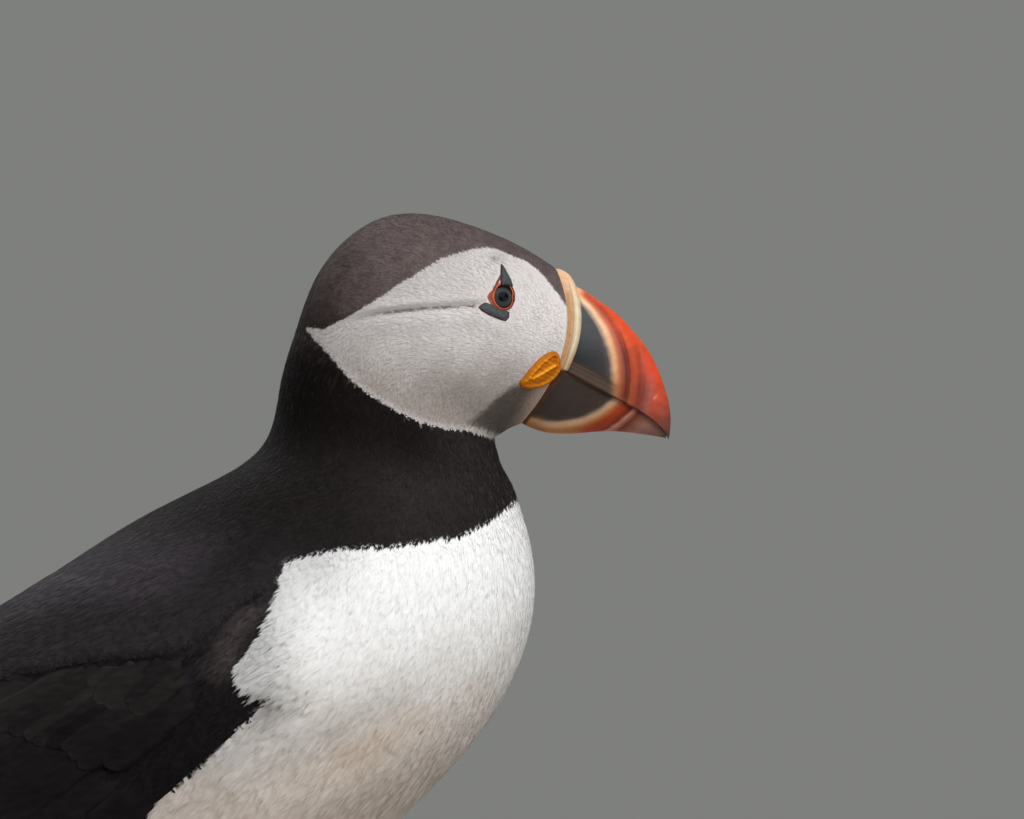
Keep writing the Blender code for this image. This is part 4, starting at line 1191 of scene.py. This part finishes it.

# Colours across the upper bill by the place of its arcs: place, red, green, blue. The dark stops
# at the grooves near 90.5 and 93.3 are partly the horn's own dark red and partly painted shade in
# the grooves.
UPPER_TOP = np.array((
    (82.0, 0.039, 0.045, 0.049), (86.4, 0.042, 0.042, 0.044), (87.1, 0.30, 0.21, 0.16),
    (88.0, 0.74, 0.47, 0.29), (88.6, 0.62, 0.28, 0.14), (89.2, 0.45, 0.12, 0.060),
    (90.0, 0.34, 0.055, 0.032), (90.9, 0.40, 0.045, 0.014), (91.6, 0.58, 0.065, 0.012),
    (93.4, 0.60, 0.068, 0.014), (105.0, 0.60, 0.055, 0.012)))
UPPER_MIDDLE = np.array((
    (79.5, 0.014, 0.012, 0.010), (84.0, 0.020, 0.021, 0.024), (85.6, 0.027, 0.023, 0.026),
    (86.7, 0.060, 0.044, 0.044), (87.3, 0.30, 0.19, 0.12), (88.0, 0.68, 0.36, 0.18),
    (88.9, 0.40, 0.12, 0.045), (89.7, 0.24, 0.050, 0.030), (90.5, 0.085, 0.020, 0.020),
    (91.3, 0.31, 0.041, 0.013), (92.4, 0.37, 0.046, 0.014), (93.3, 0.29, 0.040, 0.023),
    (94.3, 0.40, 0.048, 0.019), (95.2, 0.50, 0.050, 0.018), (96.6, 0.56, 0.050, 0.014),
    (105.0, 0.58, 0.050, 0.012)))
UPPER_FOOT = np.array((
    (79.0, 0.020, 0.014, 0.012), (83.0, 0.024, 0.018, 0.015), (84.7, 0.036, 0.026, 0.021),
    (86.4, 0.046, 0.030, 0.024), (87.2, 0.11, 0.050, 0.034), (88.1, 0.36, 0.165, 0.070),
    (88.9, 0.32, 0.090, 0.030), (89.8, 0.19, 0.032, 0.008), (90.6, 0.075, 0.016, 0.009),
    (91.5, 0.27, 0.055, 0.026), (92.3, 0.26, 0.040, 0.014), (93.2, 0.17, 0.026, 0.011),
    (94.0, 0.17, 0.030, 0.022), (94.9, 0.22, 0.050, 0.035), (95.8, 0.29, 0.072, 0.052),
    (97.0, 0.42, 0.052, 0.022), (105.0, 0.32, 0.045, 0.022)))
# Colours of the lower bill by distance from its first ring, below zero on the slate. The dark stop
# at 4.2 in the groove is partly painted shade and the pale stop at 4.8 on the ridge partly a painted
# highlight, each over the horn's own colour.
LOWER_RINGS = np.array((
    (-9.0, 0.036, 0.025, 0.021), (-1.0, 0.042, 0.028, 0.023), (-0.4, 0.065, 0.045, 0.036),
    (0.3, 0.44, 0.28, 0.18), (0.9, 0.52, 0.29, 0.15), (1.6, 0.42, 0.13, 0.035),
    (2.3, 0.33, 0.042, 0.008), (3.6, 0.27, 0.028, 0.007), (4.2, 0.17, 0.026, 0.011),
    (4.8, 0.46, 0.20, 0.14), (5.3, 0.34, 0.10, 0.065), (6.0, 0.14, 0.026, 0.013),
    (7.2, 0.25, 0.085, 0.058), (8.5, 0.28, 0.130, 0.098), (12.0, 0.20, 0.090, 0.068)))


def colours_by(value, table):
    """Colour read from a row of stops, straight-line between them."""
    return np.stack([np.interp(value, table[:, 0], table[:, k]) for k in (1, 2, 3)], axis=-1)


def bill_loops(stations, rows, steps, ridge_above):
    """Smooth loops of a bill half: rounded ridge at one edge, flat cutting edge at the other. Gives
    the points, the station number of each and its share of the way from ridge to cutting edge."""
    place = np.linspace(0.0, len(stations) - 1.0, rows)
    row = spline(stations, place)[:, None, :]
    ridge, edge = (row[..., :2], row[..., 2:4]) if ridge_above else (row[..., 2:4], row[..., :2])
    share = ((np.arange(steps + 1) / steps) ** 1.4)[None, :]
    width = np.maximum(row[..., 4], 0.25) * (1.0 - (1.0 - share) ** 1.7) ** 0.62
    x = ridge[..., 0] + (edge[..., 0] - ridge[..., 0]) * share + row[..., 5] * 4.0 * share * (1.0 - share)
    z = ridge[..., 1] + (edge[..., 1] - ridge[..., 1]) * share
    one = np.stack([x, width, z], axis=-1)
    loops = np.concatenate([one, one[:, :0:-1] * (1.0, -1.0, 1.0)], axis=1)
    share = np.concatenate([share, share[:, :0:-1]], axis=1)
    return loops, *np.broadcast_arrays(place[:, None], share)


def closed_loft(name, loops, finish, tint, replaces):
    """A closed piece through loops that start at a ridge point, its two ends ruled across and its
    faces turned outward by the sign of the volume they enclose."""
    rows, size = loops.shape[:2]
    quads = grid_quads(rows, size, wrap=True)
    j = np.arange(1, (size - 1) // 2)
    cap = np.stack([j, j + 1, size - j - 1, size - j], axis=-1)
    ends = [(0, 1, size - 1)]
    if size % 2 == 0:
        ends.append((size // 2 - 1, size // 2, size // 2 + 1))
    ends = np.array(ends)
    last = (rows - 1) * size
    quads = np.concatenate([quads, cap[:, ::-1], cap + last])
    triangles = np.concatenate([ends[:, ::-1], ends + last])
    points = loops.reshape(-1, 3)
    corner = points - points.mean(axis=0)
    volume = sum((corner[f[:, 0]] * np.cross(corner[f[:, 1]], corner[f[:, 2]])).sum()
                 for f in (quads[:, :3], quads[:, (0, 2, 3)], triangles))
    if volume < 0.0:
        quads, triangles = quads[:, ::-1], triangles[:, ::-1]
    put_mesh(name, points, quads, finish, tint.reshape(-1, 3), triangles=triangles,
             replaces=replaces)


def band(value, centre, half, soft):
    """1 within half of the centre, fading to 0 over the soft width."""
    return smooth_step(half + soft, half, np.abs(value - centre))


def pushed(loops, height):
    """Loops moved sideways by a height, less toward the ridge where the two sides meet."""
    side = smooth_step(0.5, 1.8, np.abs(loops[..., 1]))
    return loops + (np.sign(loops[..., 1]) * height * side)[..., None] * (0.0, 1.0, 0.0)


def make_bill():
    """Upper bill, lower bill and cere. Grooves and ridges are bells of the distance from an arc, a
    ring or a station; colours are bands by the same distance, with the lip, ridge, tip and edge
    mixed over them by steps."""
    loops, _, share = bill_loops(UPPER_BILL, 230, 70, True)
    x, y, z = loops[..., 0], loops[..., 1], loops[..., 2]
    arc = x - np.sqrt(np.maximum(ARC_RADIUS ** 2 - (z - ARC_HEIGHT) ** 2, 1.0))
    low = smooth_step(182.0, 172.0, z)
    height = -0.40 * bell(arc - 90.7, 0.40) * (0.4 + 0.6 * low)
    height += 0.22 * bell(arc - 88.5, 0.5) + 0.18 * bell(arc - 92.3, 0.8)
    height += (-0.25 * bell(arc - 93.8, 0.5) + 0.12 * bell(arc - 95.8, 0.9)) * low
    height += -0.22 * bell(share - 0.90, 0.02) * smooth_step(112.0, 108.0, x)
    streak = ripple(x * 0.5, y, z * 1.5, 2.3, 4.0) + 0.6 * ripple(x, y, z * 2.5, 0.9, 9.0)
    soft = arc + 0.07 * streak
    colour = colours_by(soft, UPPER_MIDDLE)
    colour = mix(colour, colours_by(soft, UPPER_TOP), smooth_step(172.0, 179.0, z))
    colour = mix(colour, colours_by(soft, UPPER_FOOT), smooth_step(171.0, 165.0, z))
    culmen = smooth_step(2.6, 0.8, np.abs(y)) * smooth_step(101.5, 104.5, x) * smooth_step(158.0, 164.0, z)
    colour = mix(colour, (0.66, 0.070, 0.022), 0.85 * culmen)
    colour = mix(colour, (0.75, 0.33, 0.17), smooth_step(104.3, 102.3, x) * smooth_step(184.5, 186.5, z))
    lip = smooth_step(0.82, 0.90, share) * smooth_step(113.0, 107.0, x)
    colour = mix(colour, (0.050, 0.029, 0.020), 0.8 * lip)
    seam = bell(share - 0.885, 0.008) * smooth_step(110.0, 105.0, x)
    colour = mix(colour, (0.16, 0.085, 0.050), 0.55 * seam)
    pale = bell(share - 0.968, 0.008) * smooth_step(118.0, 112.0, x)
    colour = mix(colour, (0.24, 0.125, 0.075), 0.5 * pale)
    colour = mix(colour, BILL_EDGE, 0.9 * smooth_step(0.982, 1.0, share))
    dusk = smooth_step(164.0, 157.0, z + 0.4 * streak - 0.25 * (x - 116.0)) * smooth_step(1.0, 0.4, culmen)
    colour = mix(colour, (0.10, 0.036, 0.024), 0.8 * dusk)
    colour = mix(colour, (0.045, 0.030, 0.026), smooth_step(157.8, 155.8, z))
    dx, dz = x - 118.8, z - 164.2
    scratch = 0.7 * np.hypot(dx + dz, (dz - dx) * 3.0)
    colour = mix(colour, (0.62, 0.30, 0.20), 0.6 * bell(scratch, 0.55))
    closed_loft("bill_upper_horn", pushed(loops, height), HORN, toned(colour, 1.0 + 0.07 * streak),
                ("bill_upper",))

    loops, _, share = bill_loops(LOWER_BILL, 190, 56, False)
    x, y, z = loops[..., 0], loops[..., 1], loops[..., 2]
    ring = np.hypot(x - RING_CENTRE[0], z - RING_CENTRE[1]) - RING_RADIUS
    streak = ripple(x * 0.6, y, z, 2.7, 6.0) + 0.5 * ripple(x, y, z * 2.0, 1.0, 3.0)
    height = 0.30 * bell(ring - 5.0, 0.5) - 0.25 * bell(ring - 4.0, 0.4) + 0.12 * bell(ring - 0.9, 0.5)
    colour = colours_by(ring + 0.07 * streak, LOWER_RINGS)
    heel = mix((0.50, 0.30, 0.17), (0.42, 0.16, 0.045), smooth_step(1.0, 1.8, ring))
    colour = mix(colour, heel, smooth_step(105.0, 99.0, x) * smooth_step(-0.4, 0.5, ring))
    rear = (x - 90.6) * 0.79 - (z - 159.2) * 0.61
    amber = smooth_step(4.5, 1.5, rear + 0.3 * (z - 159.0)) * smooth_step(161.0, 158.5, z)
    colour = mix(colour, (0.42, 0.19, 0.06), 0.7 * amber)
    colour = mix(colour, (0.085, 0.032, 0.014), 0.9 * smooth_step(1.3, 0.7, rear))
    colour = mix(colour, (0.20, 0.10, 0.06), 0.5 * bell(share - 0.97, 0.02))
    colour = mix(colour, BILL_EDGE, 0.9 * smooth_step(0.985, 1.0, share))
    colour = mix(colour, (0.10, 0.070, 0.060), smooth_step(119.0, 121.0, x))
    closed_loft("bill_lower_horn", pushed(loops, height), HORN, toned(colour, 1.0 + 0.06 * streak),
                ("bill_lower",))

    loops, place, share = bill_loops(CERE, 60, 60, True)
    z = loops[..., 2]
    height = 0.40 * bell(place - 2.9, 0.6) - 0.22 * bell(place - 2.0, 0.18)
    height += 0.12 * bell(place - 1.5, 0.3) * ripple(z, z, z, 1.1, 1.0)
    colour = mix((0.45, 0.25, 0.12), (0.62, 0.52, 0.35), smooth_step(1.85, 2.3, place))
    colour = mix(colour, (0.72, 0.44, 0.27), 0.7 * smooth_step(184.0, 189.0, z))
    colour = mix(colour, (0.34, 0.22, 0.13), 0.7 * smooth_step(3.6, 4.0, place))
    colour = mix(colour, (0.40, 0.23, 0.12), 0.5 * smooth_step(176.0, 171.0, z))
    closed_loft("bill_cere_skin", pushed(loops, height), CERE_SKIN, colour, ("bill_cere",))


# ---------------------------------------------------------------- eye and gape pad

# How often a pad's outline is averaged with its neighbours; rings and steps of the eyeball.
PAD_ROUNDINGS = 6
EYE_ROWS, EYE_STEPS = 48, 64


def capped(rings, steps):
    """Faces of rings that wrap round, with a fan at each end to an added middle point."""
    quads = grid_quads(rings, steps, wrap=True)
    j = np.arange(steps)
    after, last = (j + 1) % steps, (rings - 1) * steps
    first_fan = np.stack([after, j, np.full(steps, rings * steps)], axis=-1)
    last_fan = np.stack([j + last, after + last, np.full(steps, rings * steps + 1)], axis=-1)
    return quads, np.concatenate([first_fan, last_fan])


def ends_added(grid):
    """The grid's points followed by the middles of its first and last rings."""
    return np.concatenate([grid.reshape(-1, grid.shape[-1]), grid[:1].mean(axis=1), grid[-1:].mean(axis=1)])


def pad_piece(name, outline, side, rise, sink, finish, tint, node, folds=None, rings=16, steps=96):
    """A pad on the head: rings drawn in from its outline toward its middle by a cosine, each raised
    along the surface's normal there by a sine to the power 0.6, so that the rim rolls down into the
    feathers. The tint is a function of x, z and the height's share of the pad's rise."""
    turn = np.linspace(0.0, len(outline), steps + 1)[:-1]
    loop = np.concatenate([outline, outline[:1]])
    low = turn.astype(int)
    edge = mix(loop[low], loop[low + 1], turn - low)
    for _ in range(PAD_ROUNDINGS):
        edge = (np.roll(edge, 1, axis=0) + 2.0 * edge + np.roll(edge, -1, axis=0)) / 4.0
    middle = edge.mean(axis=0)
    turn = np.linspace(0.0, 0.97 * math.pi / 2.0, rings)[:, None]
    x, z = (middle[k] + (edge[None, :, k] - middle[k]) * np.cos(turn) for k in (0, 1))
    swell = np.broadcast_to(np.sin(turn) ** 0.6, x.shape)
    height = -sink + (rise + sink) * swell
    if folds is not None:
        height = height + folds(x, z) * smooth_step(0.3, 0.9, swell)
    normal = surface(*find(middle[:1], middle[1:]))[1]
    points = surface(*find(x, z))[0]
    points = np.stack([x, points[..., 1], z], axis=-1) + normal * height[..., None]
    shape, quads, fans = mirrored(ends_added(points), side, *capped(rings, steps))
    colour = ends_added(tint(x, z, (height + sink) / (rise + sink)))
    put_mesh(name, shape, quads, finish, colour, triangles=fans, replaces=(node,))


def plate_tint(x, z, level):
    """Blue-grey horn that darkens to reddish brown at its rim."""
    horn = mix((0.060, 0.022, 0.017), (0.036, 0.043, 0.047), smooth_step(0.40, 0.75, level))
    return toned(horn, 1.0 + 0.15 * ripple(x, z, z, 1.3, 2.0))


def make_eyes():
    """Eyeballs, lid rings and the two horn plates round each eye. The eyeball is a part of a ball
    about an axis that points out of the head; pupil, iris and rim are steps of the tilt from it."""
    place, normal = surface(*find(np.array(EYE[:1]), np.array(EYE[1:])))
    centre = place[0] - normal[0] * (EYE_RADIUS - EYE_SHOW)
    out = unit(np.array((EYE[0], place[0, 1] + 1.0, EYE[1])) - centre)
    up = unit(np.array((0.0, 0.0, 1.0)) - out * out[2])
    ahead = np.cross(up, out)
    tilt, turn = np.meshgrid(np.linspace(0.02, math.pi * 0.62, EYE_ROWS),
                             np.arange(EYE_STEPS) * TAU / EYE_STEPS, indexing="ij")
    shares = (np.sin(tilt) * np.cos(turn), np.sin(tilt) * np.sin(turn), np.cos(tilt))
    ray = sum(share[..., None] * way for share, way in zip(shares, (ahead, up, out)))
    points = ends_added(centre + EYE_RADIUS * ray)
    tilt = np.degrees(tilt)
    tint = mix((0.0015, 0.0015, 0.002), (0.032, 0.035, 0.038), smooth_step(13.5, 17.0, tilt))
    tint = toned(tint, 1.0 + 0.3 * np.sin(37.0 * turn) * np.sin(13.0 * turn))
    # Painted reflection: a pale crescent on one side of the iris's edge.
    gleam = band(tilt, 23.5, 1.5, 3.0) * smooth_step(-0.2, -0.9, np.cos(turn))
    tint = mix(tint, (0.050, 0.048, 0.050), 0.6 * gleam)
    tint = mix(tint, (0.006, 0.005, 0.005), smooth_step(27.0, 31.0, tilt))
    quads, fans = capped(EYE_ROWS, EYE_STEPS)
    for name, side in (("left", 1.0), ("right", -1.0)):
        shape, ball, ends = mirrored(points, side, quads[:, ::-1], fans[:, ::-1])
        put_mesh("eyeball_" + name, shape, ball, EYE_WET, ends_added(tint), triangles=ends,
                 replaces=("eye_" + name,))
        make_lid(name, side, centre)
        for kind, outline, rise in (("upper", UPPER_PLATE, 0.50), ("lower", LOWER_PLATE, 0.65)):
            plate = "eye_plate_%s_%s" % (kind, name)
            pad_piece(plate + "_horn", outline, side, rise, 0.5, PLATE_HORN, plate_tint, plate)


def make_lid(name, side, centre):
    """The bare lid: a thin roll along the eye's opening, then skin that spreads to the feathers in
    fine folds, resting on the eyeball inside and on the head outside."""
    turn = np.arange(LID_STEPS) * TAU / LID_STEPS
    share = np.linspace(0.0, 1.0, LID_ROWS)[:, None]
    rims = np.stack([lid_outline(k) for k in share[:, 0]])
    x, z = rims[..., 0], rims[..., 1]
    on_ball = np.sqrt(np.maximum(EYE_RADIUS ** 2 - (x - centre[0]) ** 2 - (z - centre[2]) ** 2, 0.2))
    skin = surface(*find(x, z))[0][..., 1]
    blend = smooth_step(0.0, 0.7, share)
    y = (centre[1] + on_ball) * (1.0 - blend) + (skin - 0.05) * blend
    roll = bell(share - 0.22, 0.20)
    folds = 0.06 * np.sin(26.0 * share + 2.0 * np.sin(3.0 * turn)) + 0.03 * np.sin(31.0 * turn + 5.0 * share)
    y = y + 0.34 * roll + folds * smooth_step(0.25, 0.5, share) * smooth_step(1.0, 0.8, share)
    y[0] -= 0.30
    y[-1] -= 0.45
    points = np.stack([x, y, z], axis=-1)
    tint = mix((0.16, 0.040, 0.020), (0.52, 0.10, 0.030), roll)
    tint = mix(tint, (0.010, 0.006, 0.005), smooth_step(0.06, 0.0, share))
    rear = smooth_step(0.45, 0.9, share) * smooth_step(-0.6, -0.95, np.cos(turn))
    tint = mix(tint, (0.34, 0.085, 0.040), 0.7 * rear)
    first = np.stack([np.arange(LID_STEPS), (np.arange(LID_STEPS) + 1) % LID_STEPS], axis=-1)
    back = np.concatenate([first[:, ::-1], first + (LID_ROWS - 1) * LID_STEPS], axis=-1)
    quads = np.concatenate([grid_quads(LID_ROWS, LID_STEPS, wrap=True), back])
    shape, quads = mirrored(points.reshape(-1, 3), side, quads)
    put_mesh("lid_" + name, shape, quads, LID_SKIN, tint.reshape(-1, 3),
             replaces=("eyelid_" + name,))


def pad_lines(x, z):
    """Place along the gape pad and across it, from its middle."""
    dx, dz = x - 94.7, z - 170.0
    return dx * 0.78 + dz * 0.62, dz * 0.78 - dx * 0.62


def pad_folds(x, z):
    """Swollen rim, a long fold along the pad and a short one that turns down at its front."""
    along, across = pad_lines(x, z)
    rim = edge_distance(x, z, GAPE_PAD)
    height = -0.50 * smooth_step(-0.7, -1.2, rim)
    long_fold = bell(across + 0.35 + 0.15 * along, 0.30) * smooth_step(3.6, 2.6, np.abs(along))
    front_fold = bell(along - 2.1 + 0.3 * across, 0.32) * smooth_step(1.8, 1.0, np.abs(across))
    height += 0.45 * long_fold + 0.20 * front_fold
    return height + 0.06 * np.sin(along * 6.0 + across * 3.0)


def pad_tint(x, z, level):
    """Deep yellow on the rim and folds, orange in the creases, by the level alone."""
    return mix((0.38, 0.105, 0.001), (0.76, 0.30, 0.002), smooth_step(0.62, 1.0, level))


def make_gape_pads():
    """The swollen yellow pads at the corners of the gape, one on each side."""
    for name, side in (("left", 1.0), ("right", -1.0)):
        pad_piece("gape_pad_" + name, GAPE_PAD, side, 1.1, 0.6, PAD_SKIN, pad_tint,
                  "rosette_" + name, folds=pad_folds, rings=30, steps=120)


# ---------------------------------------------------------------- legs and feet

# Heel's place behind the ankle, angle of the foot beside the outer toes, a toe's half-width, and the
# places of the toe joints.
HEEL = -4.0
TOE_EDGE = math.radians(9.0)
TOE_HALF = 2.1
JOINTS = np.array((9.5, 18.0, 26.0))


def foot_reach(angle):
    """How far the foot's edge lies from the ankle at an angle: rounded toes, hollow webs between."""
    reach = np.full(angle.shape, 8.0)
    for low, high, web in zip(TOE_ANGLES[:-1], TOE_ANGLES[1:], WEB_LENGTHS):
        share = np.clip((angle - low) / (high - low), 0.0, 1.0)
        inside = (angle >= low) & (angle <= high)
        reach = np.where(inside, web - 1.8 * np.sin(math.pi * share), reach)
    for toe, length in zip(TOE_ANGLES, TOE_LENGTHS):
        near = np.maximum(np.abs(angle - toe), 1e-4)
        end = length - TOE_HALF + np.sqrt(np.maximum(TOE_HALF ** 2 - (near * length) ** 2, 0.0))
        reach = np.maximum(reach, np.minimum(end, TOE_HALF / near))
    return reach


def make_foot(side):
    """One webbed foot. Rows run from heel to toe tips and columns across the angles of the foot; the
    top's height is the web's plus a ridge over each toe, swollen at its joints, and a mound at the
    ankle; the underside is a flat sole, hollow under the webs."""
    angle = np.linspace(TOE_ANGLES[0] - TOE_EDGE, TOE_ANGLES[-1] + TOE_EDGE, 141)[None, :]
    share = (np.linspace(0.0, 1.0, 90) ** 0.85)[:, None]
    radius = HEEL + (foot_reach(angle) - HEEL) * share
    heel = np.clip(1.0 - share * 2.2, 0.0, 1.0)
    place = np.linspace(-1.0, 1.0, angle.size)[None, :]
    width = 3.0 * place * heel
    x = np.where(radius > 0.0, radius * np.cos(angle), radius)
    x = x + 2.6 * (1.0 - np.sqrt(1.0 - place ** 2)) * heel
    y = np.maximum(radius, 0.0) * np.sin(angle) + width
    gap = np.abs(angle[..., None] - TOE_ANGLES)
    near = gap.min(axis=-1) * np.maximum(radius, 4.0)
    joint = bell(radius[..., None] - JOINTS, 1.5).sum(axis=-1)
    thick = (3.5 - 1.4 * share) * (1.0 + 0.10 * joint)
    ridge = np.exp(-(near / (1.55 + 0.18 * joint)) ** 2.4)
    scutes = 0.10 * np.abs(np.sin(radius * math.pi / 1.3)) * ridge * smooth_step(4.0, 7.0, radius)
    web = 0.85 + 0.16 * ripple(radius * 0.25, angle * 60.0, 0.0 * radius, 2.4, 5.0) * (1.0 - ridge)
    mound = bell(radius - 1.0, 5.5) * bell(y, 4.4)
    tip = np.sqrt(np.clip((1.0 - share) / 0.06, 0.0, 1.0)) * 0.7 + 0.3
    tip = tip * (0.25 + 0.75 * np.sqrt(1.0 - np.clip(1.0 - share / 0.11, 0.0, 1.0) ** 2))
    top = np.maximum(web + (thick - web) * ridge + scutes, web + 4.6 * mound) * tip
    sole = np.minimum(0.30 * (1.0 - ridge) * smooth_step(3.0, 10.0, radius), top * 0.4)
    turned_x = ANKLE[0] + x * math.cos(TOE_TURN) - y * math.sin(TOE_TURN)
    turned_y = LEG_SIDE + x * math.sin(TOE_TURN) + y * math.cos(TOE_TURN)
    top[:, (0, -1)] *= 0.5
    upper = np.stack([turned_x, turned_y, top], axis=-1)
    lower = np.stack([turned_x, turned_y, sole], axis=-1)[:, -2:0:-1]
    loops = np.concatenate([upper, lower], axis=1)
    skin = mix((0.60, 0.105, 0.016), (0.46, 0.085, 0.018), np.clip(1.0 - ridge, 0.0, 1.0))
    skin = mix(skin, (0.34, 0.055, 0.012), 0.42 * joint * ridge)
    tint = np.concatenate([skin, skin[:, -2:0:-1] * 0.6], axis=1)
    return loops * (1.0, side, 1.0), tint


def make_shank(side):
    """The bare shank: ovals along the line from hock to ankle, thicker at both joints, with a row of
    broad scutes down its front."""
    t, turn = np.meshgrid(np.linspace(-0.14, 1.06, 110), np.arange(40) * TAU / 40, indexing="ij")
    knob = 1.0 + 0.36 * bell(t - 0.02, 0.13) + 0.34 * bell(t - 0.97, 0.12)
    front = smooth_step(0.2, 0.8, np.cos(turn))
    scute = 0.10 * np.abs(np.sin(t * 15.0 * math.pi)) * front
    grain = 0.035 * np.sin(t * 70.0 * math.pi) * np.sin(turn * 20.0) * (1.0 - front)
    radius = knob + scute + grain
    x = HOCK[0] + (ANKLE[0] - HOCK[0]) * t + 2.35 * radius * np.cos(turn)
    y = LEG_SIDE + 1.75 * radius * np.sin(turn)
    z = HOCK[1] + (ANKLE[1] - HOCK[1]) * t + 0.0 * turn
    seam = bell(np.abs(np.sin(t * 15.0 * math.pi)), 0.25) * front
    tint = mix((0.56, 0.10, 0.016), (0.30, 0.05, 0.012), 0.6 * seam)
    tint = mix(tint, (0.42, 0.085, 0.020), smooth_step(0.15, -0.05, t))
    return np.stack([x, y * side, z], axis=-1), tint


def make_claw(angle, length, side):
    """A curved claw: narrowing ovals along an arc from inside the toe's end down to its point."""
    t, turn = np.meshgrid(np.linspace(0.0, 1.0, 24), np.arange(20) * TAU / 20, indexing="ij")
    out = length - 1.6 + 8.0 * t
    radius = 1.2 * (1.0 - t ** 1.4) + 0.10
    height = 1.75 + 0.55 * np.sin(t * 2.4) - 1.9 * t ** 2.2
    across = radius * 0.72 * np.sin(turn)
    heading = angle + TOE_TURN
    x = ANKLE[0] + out * math.cos(heading) - across * math.sin(heading)
    y = LEG_SIDE + out * math.sin(heading) + across * math.cos(heading)
    z = np.maximum(height + radius * np.cos(turn), 0.05)
    tint = mix((0.030, 0.022, 0.018), (0.008, 0.007, 0.007), smooth_step(0.1, 0.6, t))
    return np.stack([x, y * side, z], axis=-1), tint


def make_legs():
    """Scaled shanks, webbed feet and claws of both legs."""
    for name, side in (("left", 1.0), ("right", -1.0)):
        loops, tint = make_shank(side)
        closed_loft("shank_%s_skin" % name, loops, LEG_SKIN, tint, ("shank_" + name,))
        loops, tint = make_foot(side)
        closed_loft("foot_%s_skin" % name, loops, LEG_SKIN, tint, ("foot_" + name,))
        for label, angle, length in zip(("inner", "middle", "outer"), TOE_ANGLES, TOE_LENGTHS):
            loops, tint = make_claw(angle, length, side)
            closed_loft("claw_%s_%s_horn" % (label, name), loops, CLAW_HORN, tint,
                        ("claw_%s_%s" % (label, name),))


# ---------------------------------------------------------------- stage

# Lengths here are in metres. Lamps: name, place, width, power.
FLOOR_RADIUS = 2.2
LAMPS = (("sky", (0.40, -0.80, 1.20), 1.3, 21.5), ("fill", (1.2, -1.2, 0.5), 0.9, 7.0),
         ("rim", (-0.6, 1.1, 1.0), 0.9, 10.0))
LAMP_AIM = (0.04, 0.0, 0.13)
CAMERA_X, CAMERA_Z, VIEW_WIDTH = 0.0884, 0.1616, 0.2176


def make_stage():
    """Pale round floor, soft round lamps that face one point and the camera level with the head, as
    far off as makes the view as wide as given."""
    turn = np.arange(128) * TAU / 128
    mesh = bpy.data.meshes.new("floor")
    rim = [(FLOOR_RADIUS * math.cos(a), FLOOR_RADIUS * math.sin(a), 0.0) for a in turn]
    mesh.from_pydata(rim, [], [tuple(range(len(rim)))])
    floor = bpy.data.objects.new("floor", mesh)
    bpy.context.collection.objects.link(floor)
    mesh.materials.append(finish("floor_paint", amount=0.02, colour=(0.45, 0.445, 0.43), scale=30.0,
                                 roughness=0.8))
    world = bpy.context.scene.world or bpy.data.worlds.new("studio")
    bpy.context.scene.world = world
    world.use_nodes = True
    back = world.node_tree.nodes["Background"]
    back.inputs["Color"].default_value = (0.21, 0.215, 0.205, 1.0)
    back.inputs["Strength"].default_value = 1.0
    for name, place, size, power in LAMPS:
        lamp = bpy.data.lights.new(name, "AREA")
        lamp.shape = "DISK"
        lamp.size = size
        lamp.energy = power
        holder = bpy.data.objects.new(name, lamp)
        bpy.context.collection.objects.link(holder)
        holder.location = place
        aim = np.array(LAMP_AIM) - np.array(place)
        holder.rotation_euler = (math.atan2(math.hypot(aim[0], aim[1]), -aim[2]), 0.0,
                                 math.atan2(aim[1], aim[0]) - math.pi / 2.0)
    lens = bpy.data.cameras.new("camera")
    lens.lens = 450.0
    lens.sensor_width = 36.0
    lens.clip_start = 0.1
    lens.clip_end = 50.0
    camera = bpy.data.objects.new("camera", lens)
    bpy.context.collection.objects.link(camera)
    camera.location = (CAMERA_X, -VIEW_WIDTH * lens.lens / lens.sensor_width, CAMERA_Z)
    camera.rotation_euler = (math.pi / 2.0, 0.0, 0.0)
    bpy.context.scene.camera = camera
    bpy.context.scene.view_settings.view_transform = "Standard"


make_stage()
make_skin()
make_coat()
make_wings()
make_tail()
make_bill()
make_eyes()
make_gape_pads()
make_legs()
